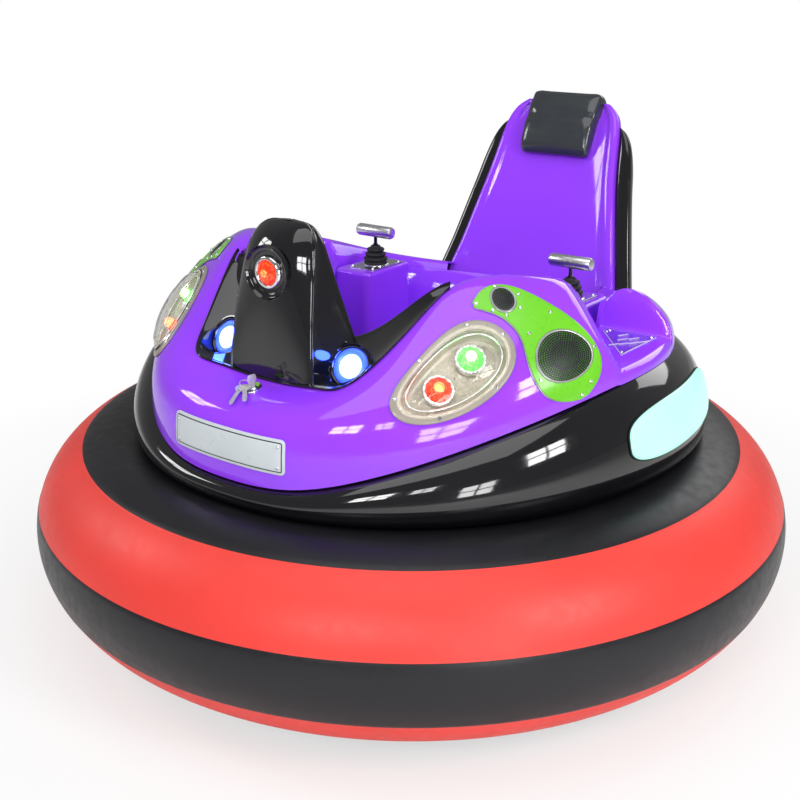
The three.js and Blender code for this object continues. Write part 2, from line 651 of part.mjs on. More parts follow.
// Boarding step's well at a height; its front wall leans forward.
function stepOutline(grow, z) {
  const forward = 1.6 * (grow + STEP_LEAN * (z - STEP_Z));
  return [
    [ringR - 40, -ringR + 535 - forward], [ringR - 40, -ringR + 906 + grow],
    [ringR - 300 - grow, -ringR + 889 + grow], [ringR - 300 - grow, -ringR + 875 - forward],
  ].map(([x, y]) => new THREE.Vector3(x, y, z));
}

const stepWells = (grow, z0, z1) => bothSides(skin([z0, z1].map((z) => stepOutline(grow, z))));

// Everything under the body's outer face, to trim what is moulded into it.
function bodyBlock(grow = 0) {
  const rows = BODY_ANGLES.map((degrees) => {
    const points = sectionAt(BODY_SECTIONS, degrees);
    const outer = Array.from({ length: BODY_STEPS + 1 }, (_, k) => {
      const [r, z] = along(points, ((points.length - 1) * k) / BODY_STEPS);
      return polar(r, degrees, z + grow);
    });
    const [lip, foot] = [points.at(-1), points[0]].map(([r]) => polar(r - grow, degrees, ringTop));
    return [...outer, lip, foot];
  });
  return skin(rows, true);
}

function bodyShell(holes) {
  const shell = panelShell(BODY_SECTIONS, BODY_ANGLES, BODY_STEPS, SHELL_WALL);
  const wells = stepWells(0, STEP_Z, STEP_Z + 400);
  const wellsOutside = stepWells(SHELL_WALL, STEP_Z - SHELL_WALL, STEP_Z + 401);
  const wellSkin = common(cut(join(...wellsOutside), ...wells), bodyBlock());
  const rearCover = coverBlock(-COVER_CLEARANCE, COVER_FOOT_T - 1, coverTopT);
  const rearOpening = [seatSlab(SKIN_GAP), rearCover, rearTrim()];
  const whole = join(cut(shell, ...wells), wellSkin);
  return largest(cut(whole, ...rearOpening, fasciaHump(SKIN_GAP), ...holes));
}

// Space of the rear cover below its foot.
const rearTrim = () => box(-PAN_HALF, PAN_HALF, rear(240), rear(60), ringTop, ringTop + 400);

function largest(geometry) {
  const parts = toSolid(geometry).decompose();
  return toGeometry(parts.reduce((a, b) => (a.volume() > b.volume() ? a : b)));
}

// Cockpit lining from the body's inner lip down to the deck.
const LINING_FOOT = [256, 256, 260, 264, 268, 266, 256, 244, 232, 226, 226, 226, 226];
const liningSections = BODY_SECTIONS.map((points, i) => {
  const [[a, b], [c, d]] = points.slice(-2);
  const length = Math.hypot(c - a, d - b);
  const [da, db] = [(c - a) / length, (d - b) / length];
  const foot = LINING_FOOT[i];
  const floor = deckTop + GAP - ringTop;
  return [
    [c + da * GAP * 2, d + db * GAP * 2], [c + da * 30, d + db * 30],
    [(c + foot) / 2, d / 2 + 20], [Math.max(foot - 30, 196), -54], [foot - 8, -150],
    [foot, floor + 50], [foot, floor],
  ];
});

function cockpitLining() {
  const shell = panelShell(liningSections, BODY_ANGLES, 7, SHELL_WALL);
  const wells = stepWells(SHELL_WALL + SKIN_GAP, STEP_Z - SHELL_WALL - 1, STEP_Z + 400);
  const rearCover = coverBlock(-COVER_CLEARANCE, COVER_FOOT_T - 1.5, coverTopT);
  const headlampHoles = bothSides(headlampHole(GAP * 2));
  return largest(cut(shell, seatSlab(SKIN_GAP), rearCover, rearTrim(), ...wells,
    fasciaHump(SKIN_GAP), ...headlampHoles));
}

const skirt = () => largest(cut(panelShell(skirtSections, BODY_ANGLES, SKIRT_STEPS, SHELL_WALL),
  bumperTube(SKIN_GAP), seatSlab(SKIN_GAP)));

// ---------------------------------------------------------------- joystick consoles

function roundedBlock(x0, x1, y0, y1, z0, z1, r) {
  const shape = new THREE.Shape();
  shape.moveTo(x0 + r, y0);
  shape.lineTo(x1 - r, y0);
  shape.absarc(x1 - r, y0 + r, r, -Math.PI / 2, 0);
  shape.absarc(x1 - r, y1 - r, r, 0, Math.PI / 2);
  shape.absarc(x0 + r, y1 - r, r, Math.PI / 2, Math.PI);
  shape.absarc(x0 + r, y0 + r, r, Math.PI, 1.5 * Math.PI);
  const extrusion = { depth: z1 - z0, bevelEnabled: false, curveSegments: 5 };
  return new THREE.ExtrudeGeometry(shape, extrusion).translate(0, 0, z0);
}

function joystickConsole() {
  const [front, back] = [consoleFront, consoleFront + CONSOLE_L];
  const out = CONSOLE_IN + CONSOLE_W;
  const upper = roundedBlock(CONSOLE_IN, out, front, back, pedestalTop, consoleTop, CONSOLE_R);
  const foot = [CONSOLE_IN, CONSOLE_IN + PEDESTAL_W, front + PEDESTAL_INSET, back - PEDESTAL_INSET];
  const lower = roundedBlock(...foot, deckTop + GAP, pedestalTop + 1, CONSOLE_R);
  const insideLining = liningSections.map((points) => points.map(([inwards, up], i) =>
    [inwards + CONSOLE_TO_LINING, up + (i ? -CONSOLE_TO_LINING : CONSOLE_TO_LINING)]));
  return largest(cut(join(upper, lower), panelShell(insideLining, BODY_ANGLES, 7, CONSOLE_W),
    bodyBlock(CONSOLE_TO_LINING)));
}

const stick = { x: CONSOLE_IN + STICK_IN, y: consoleFront + CONSOLE_L / 2 + 5 };
const plateTop = consoleTop + GAP + STICK_PLATE.t;

const bootTop = plateTop + STICK_BOOT.h;

// Cover plate with the rubber boot on it.
function joystickBase() {
  const plate = roundedBlock(stick.x - STICK_PLATE.w / 2, stick.x + STICK_PLATE.w / 2,
    stick.y - STICK_PLATE.d / 2, stick.y + STICK_PLATE.d / 2, consoleTop + GAP, plateTop, 4);
  const [bottom, top] = [STICK_BOOT.bottomD / 2, STICK_BOOT.topD / 2];
  const foot = plateTop - 1;
  const folds = 3;
  const profile = [[0, foot], [bottom, foot], [bottom, foot + 5]];
  for (let i = 0; i < folds; i++) {
    const f = (i + 1) / folds;
    const z = foot + 6 + (STICK_BOOT.h - 12) * f;
    const r = bottom + (top - bottom) * f;
    profile.push([r - 2, z - 8], [r + 4, z - 4], [r, z]);
  }
  profile.push([top - 2, bootTop], [0, bootTop]);
  return join(plate, turned(profile, 14).translate(stick.x, stick.y, 0));
}

const gripZ = consoleTop + STICK_GRIP.up;
function joystickGrip() {
  const stem = post(STICK_STEM_D, bootTop + GAP, gripZ, stick.x, stick.y, 12);
  const [r, half] = [STICK_GRIP.d / 2, STICK_GRIP.l / 2];
  const profile = [[0, -half], [r - 5, -half], [r, -half + 5], [r, half - 5], [r - 5, half], [0, half]];
  const bar = turned(profile, 24)
    .rotateY(Math.PI / 2).translate(stick.x, stick.y, gripZ);
  return join(stem, bar);
}

// ---------------------------------------------------------------- front fascia
// Outer edge on the body and free edge over the footwell, as [degrees, inwards] and [degrees, inwards, up].
const FASCIA_EDGE = [
  [0, 196], [8, 192], [15, 170], [20, 142], [24, 158], [30, 206], [37, 250], [44, 282], [49, 300],
];
const FASCIA_RIM = [
  [0, 318, 284], [10, 320, 286], [17, 324, 296], [22, 326, 308], [27, 326, 326], [33, 322, 356],
  [39, 316, 392], [45, 314, 424], [49.5, 316, 436],
];
const FASCIA_WALL = 4;

function fasciaTray() {
  const half = FASCIA_EDGE.map(([degrees, inwards], i) => {
    const t = sectionT(BODY_SECTIONS, degrees, (a) => a > inwards);
    const edge = panelAt(BODY_SECTIONS, degrees, t);
    const [rimDegrees, rimIn, rimUp] = FASCIA_RIM[i];
    const rim = polar(ringR - rimIn, rimDegrees, ringTop + rimUp);
    const low = edge.point.clone().addScaledVector(edge.normal, SKIN_GAP + 1.4);
    const top = low.clone().addScaledVector(edge.normal, FASCIA_WALL);
    const lift = new THREE.Vector3(0, 0, FASCIA_WALL);
    const at = (f, sag) => low.clone().lerp(rim, f).add(new THREE.Vector3(0, 0, sag));
    const under = [low, at(0.35, 6), at(0.7, 5), rim];
    const over = [top, ...[at(0.35, 6), at(0.7, 5), rim].map((q) => q.clone().add(lift))];
    return [...under, ...over.reverse()];
  });
  const flip = (row) => row.map((q) => new THREE.Vector3(-q.x, q.y, q.z));
  return skin([...half.slice(1).reverse().map(flip), ...half]);
}

// Sections of the hump, as [height up, half width in front, half width behind, front inwards at the
// middle, front inwards at the edges, back inwards].
const HUMP = [
  [222, 112, 176, 198, 194, 312], [286, 110, 164, 196, 202, 308], [346, 105, 143, 196, 210, 304],
  [406, 100, 121, 198, 222, 300], [456, 95, 103, 202, 232, 297], [496, 88, 91, 214, 243, 294],
  [526, 76, 77, 236, 258, 292], [544, 54, 55, 264, 272, 290],
];

function fasciaHump(grow = 0) {
  const rows = HUMP.map(([rise, ...sizes], i) => {
    const up = i ? rise : rise - 2 * grow;
    const [wf, wb, middle, edge, back] = sizes.map((v, k) => v + [grow, grow, -grow, -grow, grow][k]);
    const y = (inwards) => -ringR + inwards;
    const side = [
      [0, y(middle)], [0.55 * wf, y(middle * 0.7 + edge * 0.3)], [0.9 * wf, y(middle * 0.2 + edge * 0.8)],
      [wf, y(edge + 6)], [(wf + wb) / 2, y((edge + back) / 2)], [wb, y(back - 12)],
      [wb - 10, y(back)], [0, y(back)],
    ];
    return [...side, ...side.slice(1, -1).reverse().map(([x, q]) => [-x, q])]
      .map(([x, q]) => new THREE.Vector3(x, q, ringTop + up));
  });
  return skin(rows);
}

const NOSE_LAMP = { up: 449, d: 66, recessD: 112, floorIn: 211 };
const HEADLAMP = { x: 171, inwards: 256, up: 270, d: 90, depth: 46 };
const lampAxis = new THREE.Vector3(0.12, -0.86, 0.5).normalize();

// Turned piece aimed forwards and up from the headlamp's middle.
function aimed(geometry) {
  const turn = new THREE.Quaternion().setFromUnitVectors(new THREE.Vector3(0, 0, 1), lampAxis);
  return geometry.applyQuaternion(turn)
    .translate(HEADLAMP.x, -ringR + HEADLAMP.inwards, ringTop + HEADLAMP.up);
}

function headlamp() {
  const [r, rim] = [HEADLAMP.d / 2, 8];
  return aimed(turned([
    [0, -HEADLAMP.depth], [r - 12, -HEADLAMP.depth], [r, -10], [r, rim], [r - 4, rim], [r - 9, 0],
    [r - 12, -4], [r - 13, 0], [r - 22, 6], [0, 9],
  ], 24));
}

const headlampHole = (clearance) => {
  const r = HEADLAMP.d / 2 + clearance;
  return aimed(turned([[0, -HEADLAMP.depth - 2], [r, -HEADLAMP.depth - 2], [r, 60], [0, 60]], 24));
};

function frontFascia() {
  const pocket = post(NOSE_LAMP.recessD, 0, 200, 0, 0, 40).rotateX(Math.PI / 2)
    .translate(0, -ringR + NOSE_LAMP.floorIn, ringTop + NOSE_LAMP.up);
  const holes = bothSides(headlampHole(GAP * 2));
  return largest(cut(join(fasciaTray(), fasciaHump()), pocket, ...holes));
}

function noseLamp() {
  const r = NOSE_LAMP.d / 2;
  return turned([[0, 0], [r + 2, 0], [r + 2, 6], [r - 2, 10], [r - 8, 14], [0, 19]], 32)
    .rotateX(Math.PI / 2).translate(0, -ringR + NOSE_LAMP.floorIn - GAP, ringTop + NOSE_LAMP.up);
}

// ---------------------------------------------------------------- trim on the panels
const SIDE_LIGHT = { degrees: 45.5, t: 2.66, a: 128, b: 92, tilt: 0.22, flange: 20, dish: 34, dome: 20 };
const sideLightPlace = panelFrame(BODY_SECTIONS, SIDE_LIGHT.degrees, SIDE_LIGHT.t, SIDE_LIGHT.tilt);

const lightOutline = oval(SIDE_LIGHT.a, SIDE_LIGHT.b, 28);
const share = (inset) => 1 - inset / SIDE_LIGHT.b;
const BEZEL_T = 5;

const lightHole = () => patch(sideLightPlace, lightOutline,
  [[0, -60], [0.5, -60], [share(19), -60], [share(19), 40], [0, 40]]);

function sideLightHousing() {
  const [mouth, wall] = [share(SIDE_LIGHT.flange), share(SIDE_LIGHT.flange + 4)];
  const [low, dish] = [SKIN_GAP + 0.6, SIDE_LIGHT.dish];
  return patch(sideLightPlace, lightOutline, [
    [1, low], [1, BEZEL_T], [wall, BEZEL_T], [wall - 0.04, 8 - dish], [0.5 * wall, 4 - dish], [0, 4 - dish],
    [0, -dish], [0.5 * mouth, -dish], [mouth - 0.04, 4 - dish], [mouth, low],
  ]);
}

function sideLightLens() {
  const low = BEZEL_T + SKIN_GAP;
  const rise = (f) => low + 3 + SIDE_LIGHT.dome * Math.sqrt(Math.max(0, 1 - f * f));
  const outside = [0, 0.35, 0.62, 0.82, share(8)];
  const inside = [share(SIDE_LIGHT.flange + 4), 0.62, 0.35, 0];
  return patch(sideLightPlace, lightOutline, [
    ...outside.map((f) => [f, rise(f)]), [share(8), low], [share(SIDE_LIGHT.flange + 4), low],
    ...inside.slice(1).map((f) => [f, rise(f) - 4]),
  ]);
}

// Speaker panel: a band whose half width follows its spine, as [along, up, half width].
const SPEAKER = { degrees: 66, t: 3 };
const SPEAKER_BAND = [
  [-128, 93, 5], [-104, 95, 22], [-72, 95, 36], [-38, 80, 42], [-6, 44, 50], [16, -4, 66],
  [24, -56, 76], [30, -110, 72], [40, -150, 54], [48, -176, 28], [52, -188, 8],
];
const PANEL_T = 3;

function speakerPanel() {
  const last = SPEAKER_BAND.length - 1;
  const steps = 18;
  const stations = Array.from({ length: steps + 1 }, (_, i) => along(SPEAKER_BAND, (last * i) / steps));
  const low = SKIN_GAP + 0.6;
  return band(panelFrame(BODY_SECTIONS, SPEAKER.degrees, SPEAKER.t), stations, [-1, -0.5, 0, 0.5, 1], low,
    () => low + PANEL_T);
}

const PLATE = { half: 154, halfHeight: 38, t: 2.5, up: 124 };
function numberPlate() {
  const t = sectionT(BODY_SECTIONS, 0, (_, up) => up > PLATE.up);
  const stations = [-1, -0.97, -0.7, -0.35, 0, 0.35, 0.7, 0.97, 1].map((f) =>
    [f * PLATE.half, 0, PLATE.halfHeight - (Math.abs(f) === 1 ? 5 : 0)]);
  return band(panelFrame(BODY_SECTIONS, 0, t), stations, [-1, 0, 1], SKIN_GAP + 1,
    () => SKIN_GAP + 1 + PLATE.t);
}

const KEY = { inwards: 150, d: 22 };
function keySwitch() {
  const t = sectionT(BODY_SECTIONS, 0, (a) => a > KEY.inwards);
  const { point, normal } = panelAt(BODY_SECTIONS, 0, t);
  const r = KEY.d / 2;
  const lock = turned([[0, 0], [r, 0], [r, 4], [r - 3, 7], [0, 7]], 24);
  const blade = box(-1.2, 1.2, -5, 5, 6, 16);
  const bow = post(24, -1.4, 1.4, 0, 0, 20).rotateY(Math.PI / 2).translate(0, 0, 26);
  const turn = new THREE.Quaternion().setFromUnitVectors(new THREE.Vector3(0, 0, 1), normal);
  return join(lock, blade, bow).applyQuaternion(turn)
    .translate(...point.addScaledVector(normal, SKIN_GAP).toArray());
}

const STEP_PLATE_T = 2;
function stepPlate() {
  const outline = [
    [ringR - 154, -ringR + 716], [ringR - 148, -ringR + 884], [ringR - 272, -ringR + 876],
    [ringR - 272, -ringR + 858],
  ];
  return prism(outline, STEP_Z + GAP, STEP_Z + GAP + STEP_PLATE_T);
}

const GLOW = { degrees: 98, t: 2.9, half: 236, halfHeight: 58, thickness: 7 };
function glowPanel() {
  const stations = [-1, -0.97, -0.88, -0.7, -0.45, -0.15, 0.15, 0.45, 0.7, 0.88, 0.97, 1].map((f) =>
    [f * GLOW.half, 0, GLOW.halfHeight * Math.max(0.22, (1 - Math.abs(f) ** 3) ** 0.4)]);
  const low = SKIN_GAP + 1.2;
  return band(panelFrame(skirtSections, GLOW.degrees, GLOW.t), stations, [-1, -0.55, 0, 0.55, 1], low,
    (f, end) => low + GLOW.thickness * (Math.abs(f) === 1 || end ? 0.4 : 1));
}

// ---------------------------------------------------------------- build
add('bumper_tube', bumperTube(), RING_RED);
add('chassis_frame', chassisFrame(), STEEL);
add('battery_block', box(-BATTERY.w / 2, BATTERY.w / 2, rear(516), rear(516) + BATTERY.d,
  deckTop + GAP, deckTop + GAP + BATTERY.h), CASE);
addPair('drive_motor', driveMotor(), ZINC);
addPair('drive_hub', driveHub(), ZINC);
addPair('drive_tyre', driveTyre(), RUBBER);
for (const [place, y] of [['front', -CASTER_Y], ['rear', CASTER_Y]]) {
  add(`caster_fork_${place}`, casterFork(y), ZINC);
  add(`caster_wheel_${place}`, casterWheel(y), RUBBER);
}

const lampHoles = [headlampHole(GAP * 2), lightHole()].flatMap(bothSides);
add('skirt', skirt(), GLOSS_BLACK);
add('body_shell', bodyShell(lampHoles), PURPLE);
add('cockpit_lining', cockpitLining(), PURPLE);
add('seat_shell', seatSlab(), PURPLE);
add('seat_back_cover', seatBackCover(), GLOSS_BLACK);
add('headrest', headrest(), VINYL);
addPair('joystick_console', joystickConsole(), PURPLE);
addPair('joystick_base', joystickBase(), ZINC);
addPair('joystick_grip', joystickGrip(), CHROME);
add('front_fascia', frontFascia(), GLOSS_BLACK);
add('nose_lamp', noseLamp(), LAMP_RED);
addPair('headlamp', headlamp(), LAMP_BLUE);
addPair('side_light_housing', sideLightHousing(), LAMP_CLEAR);
addPair('side_light_lens', sideLightLens(), LAMP_CLEAR);
addPair('speaker_panel', speakerPanel(), GREEN);
add('number_plate', numberPlate(), PALE);
add('key_switch', keySwitch(), CHROME);
addPair('step_plate', stepPlate(), ZINC);
addPair('glow_panel', glowPanel(), MINT);

export default root;
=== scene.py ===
import math

import bmesh
import bpy
import numpy as np
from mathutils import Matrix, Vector
from mathutils.geometry import delaunay_2d_cdt


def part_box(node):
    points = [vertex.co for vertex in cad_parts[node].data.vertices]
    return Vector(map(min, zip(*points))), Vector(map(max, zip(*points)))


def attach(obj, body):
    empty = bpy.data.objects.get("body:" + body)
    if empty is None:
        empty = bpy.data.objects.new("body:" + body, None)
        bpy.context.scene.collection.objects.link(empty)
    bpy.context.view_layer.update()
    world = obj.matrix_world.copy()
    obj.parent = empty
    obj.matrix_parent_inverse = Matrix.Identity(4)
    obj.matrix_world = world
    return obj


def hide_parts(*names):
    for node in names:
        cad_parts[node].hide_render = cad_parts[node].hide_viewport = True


# Round bumper car. Lengths are millimetres until a mesh is built; the front faces -Y.
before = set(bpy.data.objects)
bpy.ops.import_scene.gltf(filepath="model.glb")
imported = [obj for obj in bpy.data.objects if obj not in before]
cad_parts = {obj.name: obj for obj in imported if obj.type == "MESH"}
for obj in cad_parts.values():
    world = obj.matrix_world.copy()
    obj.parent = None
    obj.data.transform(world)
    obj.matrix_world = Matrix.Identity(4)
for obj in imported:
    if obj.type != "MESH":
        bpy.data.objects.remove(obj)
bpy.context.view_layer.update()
MM = 0.001


def cad_box(node):
    low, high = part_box(node)
    return np.array(low) / MM, np.array(high) / MM


# ---------------------------------------------------------------- sizes from the frame
ring_low, ring_high = cad_box("bumper_tube")
SECTION_R = (ring_high[2] - ring_low[2]) / 2
RING_R = ring_high[0] - SECTION_R
RING_Z = (ring_high[2] + ring_low[2]) / 2
RING_TOP = ring_high[2]
DECK = cad_box("battery_block")[0][2]
WALL = 5.0
console_low, console_high = cad_box("joystick_console_left")
base_low, base_high = cad_box("joystick_base_left")
grip_low, grip_high = cad_box("joystick_grip_left")
step_high = cad_box("step_plate_left")[1]
STEP_Z = step_high[2] - 2.3
STICK = ((grip_low[0] + grip_high[0]) / 2, (grip_low[1] + grip_high[1]) / 2)


# ---------------------------------------------------------------- materials
def srgb(*levels):
    return [(v / 255 / 12.92) if v <= 10 else ((v / 255 + 0.055) / 1.055) ** 2.4 for v in levels]


def node(tree, kind, inputs=None, **settings):
    made = tree.nodes.new(kind)
    for key, value in settings.items():
        setattr(made, key, value)
    for key, value in (inputs or {}).items():
        if isinstance(value, bpy.types.NodeSocket):
            tree.links.new(value, made.inputs[key])
        else:
            made.inputs[key].default_value = value
    return made


def noise(tree, place, scale, detail=3.0, low=0.0, high=1.0):
    made = node(tree, "ShaderNodeTexNoise", {"Vector": place, "Scale": scale, "Detail": detail})
    span = {"Value": made.outputs["Fac"], "From Min": 0.3, "From Max": 0.7, "To Min": low, "To Max": high}
    return node(tree, "ShaderNodeMapRange", span).outputs["Result"]


def mixed(tree, factor, a, b):
    made = node(tree, "ShaderNodeMix", data_type="RGBA")
    for index, value in ((0, factor), (6, a), (7, b)):
        if isinstance(value, bpy.types.NodeSocket):
            tree.links.new(value, made.inputs[index])
        else:
            made.inputs[index].default_value = value
    return made.outputs[2]


def finish(name, color, roughness, spread=0.03, shade=0.08, cloud=5.0, grain=None, stretch=None, **sockets):
    """Procedural finish: clouded colour, uneven roughness and a fine bump, all in object space."""
    material = bpy.data.materials.new(name)
    material.use_nodes = True
    tree = material.node_tree
    shader = tree.nodes["Principled BSDF"]
    place = node(tree, "ShaderNodeTexCoord").outputs["Object"]
    fine = place
    if stretch:
        fine = node(tree, "ShaderNodeMapping", {"Vector": place, "Scale": stretch}).outputs["Vector"]
    dark = [v * (1 - shade) for v in color] + [1]
    light = [min(v * (1 + shade), 1) for v in color] + [1]
    tree.links.new(mixed(tree, noise(tree, fine, cloud), dark, light), shader.inputs["Base Color"])
    rough = noise(tree, fine, cloud * 9, 4.0, max(roughness - spread, 0.01), roughness + spread)
    tree.links.new(rough, shader.inputs["Roughness"])
    if grain:
        scale, depth = grain
        height = noise(tree, fine, scale, 2.0)
        bump = {"Height": height, "Strength": 1.0, "Distance": depth * MM}
        tree.links.new(node(tree, "ShaderNodeBump", bump).outputs["Normal"], shader.inputs["Normal"])
    for key, value in sockets.items():
        shader.inputs[key.replace("_", " ")].default_value = value
    return material


def glowing(name, color, strength, glow, roughness=0.2):
    return finish(name, color, roughness, Emission_Color=[*glow, 1], Emission_Strength=strength)


GEL = {"Coat_Weight": 0.6, "Coat_Roughness": 0.03, "IOR": 1.5}
PURPLE = finish("purple_gel", srgb(150, 62, 250), 0.08, 0.02, 0.05, 3.0, (60, 0.03), Coat_Weight=0.35,
                Coat_Roughness=0.03, IOR=1.46)
BLACK_GEL = finish("black_gel", srgb(13, 13, 17), 0.08, 0.03, 0.2, 4.0, (55, 0.035), **GEL)
RED_PVC = finish("red_pvc", srgb(228, 62, 54), 0.44, 0.05, 0.05, 5.0, (420, 0.10), Specular_IOR_Level=0.4)
BLACK_PVC = finish("black_pvc", srgb(24, 24, 28), 0.38, 0.06, 0.12, 5.0, (420, 0.10), Specular_IOR_Level=0.4)
VINYL = finish("black_vinyl", srgb(48, 52, 56), 0.2, 0.04, 0.12, 9.0, (420, 0.03), Coat_Weight=0.5)
RUBBER = finish("black_rubber", srgb(24, 24, 25), 0.62, 0.08, 0.2, 30.0, (700, 0.10))
TYRE = finish("tyre_rubber", srgb(30, 30, 31), 0.78, 0.08, 0.25, 22.0, (500, 0.25))
CHROME = finish("brushed_chrome", srgb(228, 229, 232), 0.3, 0.06, 0.06, 60.0, (700, 0.02),
                (0.12, 6.0, 6.0), Metallic=1.0)
BRIGHT = finish("bright_chrome", srgb(232, 233, 236), 0.09, 0.04, 0.04, 12.0, (200, 0.01), Metallic=1.0)
STAINLESS = finish("stainless_plate", srgb(205, 206, 208), 0.27, 0.07, 0.07, 40.0, (500, 0.02),
                   (8.0, 0.3, 8.0), Metallic=1.0)
ZINC = finish("zinc_plate", srgb(170, 172, 174), 0.38, 0.1, 0.14, 16.0, (300, 0.04), Metallic=0.95)
FRAME_PAINT = finish("frame_paint", srgb(58, 60, 64), 0.46, 0.08, 0.15, 9.0, (260, 0.08))
CASE = finish("battery_case", srgb(38, 41, 47), 0.55, 0.08, 0.12, 12.0, (300, 0.1))
GREEN = finish("green_panel", srgb(106, 196, 32), 0.3, 0.05, 0.05, 9.0, (700, 0.03), Coat_Weight=0.2)
SILVER_RIM = finish("silver_rim", srgb(158, 160, 158), 0.32, 0.06, 0.06, 30.0, (400, 0.02), Metallic=0.6)
GRILLE = finish("black_grille", srgb(33, 35, 38), 0.4, 0.06, 0.15, 30.0, (500, 0.03), Metallic=0.3)
DEEP = finish("speaker_mesh", srgb(132, 136, 138), 0.7, 0.05, 0.2, 40.0)
BEZEL = finish("lamp_bezel", srgb(150, 142, 132), 0.3, 0.05, 0.06, 14.0, (300, 0.02), Coat_Weight=0.3)
BOWL = finish("lamp_bowl", srgb(142, 136, 124), 0.25, 0.08, 0.12, 16.0, (90, 0.2), Metallic=0.25)
PLATE = finish("pale_plate", srgb(200, 208, 212), 0.32, 0.06, 0.04, 7.0, (500, 0.02))
PLATE_INK = finish("plate_line", srgb(20, 20, 24), 0.4, 0.05, 0.1, 20.0)
TREAD = finish("tread_paint", srgb(112, 62, 205), 0.24, 0.07, 0.1, 25.0, (300, 0.05), Coat_Weight=0.4)
# Pale tread colour for the plate's rim and its raised bars; on the bars the paleness is painted highlight.
TREAD_RIM_AND_BAR_HIGHLIGHT = finish("tread_rim_and_bar_highlight", srgb(196, 182, 226), 0.3, 0.06, 0.06, 40.0, (300, 0.03))
KEY_STEEL = finish("key_steel", srgb(206, 202, 188), 0.3, 0.07, 0.08, 50.0, (300, 0.04), Metallic=0.45)
TAG = finish("key_tag", srgb(130, 190, 60), 0.35, 0.05, 0.08, 60.0)
MINT = glowing("mint_glow", srgb(170, 235, 215), 0.42, srgb(160, 248, 220))


def faceted(name, color, dim, bright, strength, scale):
    """Lit lens whose facets gather the light here and there."""
    material = finish(name, color, 0.1, 0.04, 0.1, 40.0)
    tree = material.node_tree
    shader = tree.nodes["Principled BSDF"]
    place = node(tree, "ShaderNodeTexCoord").outputs["Object"]
    cells = node(tree, "ShaderNodeTexVoronoi", {"Vector": place, "Scale": scale})
    span = {"Value": cells.outputs["Distance"], "From Min": 0.1, "From Max": 0.55}
    spread = node(tree, "ShaderNodeMapRange", span)
    lit = mixed(tree, spread.outputs["Result"], [*bright, 1], [*dim, 1])
    tree.links.new(lit, shader.inputs["Emission Color"])
    shader.inputs["Emission Strength"].default_value = strength
    return material


RED_LENS = faceted("red_lens", srgb(225, 50, 22), srgb(205, 30, 12), srgb(255, 130, 60), 0.75, 160.0)
RED_CORE = faceted("red_core", srgb(255, 120, 60), srgb(240, 60, 20), srgb(255, 200, 120), 1.6, 260.0)
GREEN_LENS = faceted("green_lens", srgb(90, 225, 80), srgb(60, 220, 60), srgb(190, 255, 170), 1.0, 160.0)
GREEN_CORE = glowing("green_core", srgb(220, 255, 210), 3.0, srgb(200, 255, 190))
BLUE_RING = glowing("blue_ring", srgb(70, 100, 255), 1.6, srgb(50, 80, 255), 0.15)
BLUE_CORE = glowing("blue_core", srgb(210, 225, 255), 3.2, srgb(185, 210, 255))


def clear_plastic():
    """Clear dome: glass to the eye and to reflections, open to the light that falls through it."""
    material = finish("clear_dome", [0.97, 0.97, 0.95], 0.04, 0.02, 0.01, 20.0, (40, 0.01),
                      Transmission_Weight=1.0, IOR=1.28)
    tree = material.node_tree
    path = node(tree, "ShaderNodeLightPath")
    opened = node(tree, "ShaderNodeBsdfTransparent", {"Color": (0.95, 0.95, 0.93, 1)})
    glass = tree.nodes["Principled BSDF"].outputs["BSDF"]
    either = node(tree, "ShaderNodeMixShader", {"Fac": path.outputs["Is Shadow Ray"]})
    tree.links.new(glass, either.inputs[1])
    tree.links.new(opened.outputs["BSDF"], either.inputs[2])
    tree.links.new(either.outputs["Shader"], tree.nodes["Material Output"].inputs["Surface"])
    return material


CLEAR = clear_plastic()


# ---------------------------------------------------------------- mesh building
def grid(rows, around=False, across=False):
    """Points in rows to vertices and quads; it may close round the rows or across each row."""
    rows = np.asarray(rows, float)
    index = np.arange(rows.shape[0] * rows.shape[1]).reshape(rows.shape[:2])
    if around:
        index = np.vstack([index, index[:1]])
    if across:
        index = np.hstack([index, index[:, :1]])
    corners = [index[:-1, :-1], index[:-1, 1:], index[1:, 1:], index[1:, :-1]]
    return rows.reshape(-1, 3), np.stack(corners, -1).reshape(-1, 4).tolist()


def into_scene(name, data):
    made = bpy.data.objects.new(name, data)
    bpy.context.scene.collection.objects.link(made)
    return made


def cleaned(mesh, merge):
    """Merges doubled points and turns the faces outwards."""
    work = bmesh.new()
    work.from_mesh(mesh)
    bmesh.ops.remove_doubles(work, verts=work.verts, dist=merge)
    bmesh.ops.dissolve_degenerate(work, edges=work.edges, dist=1e-7)
    bmesh.ops.recalc_face_normals(work, faces=work.faces)
    work.to_mesh(mesh)
    work.free()


def smoothed(mesh, sharp=None):
    mesh.polygons.foreach_set("use_smooth", [True] * len(mesh.polygons))
    if sharp:
        mesh.set_sharp_from_angle(angle=math.radians(sharp))


def applied(piece, modifier):
    bpy.context.view_layer.objects.active = piece
    bpy.ops.object.modifier_apply(modifier=modifier.name)


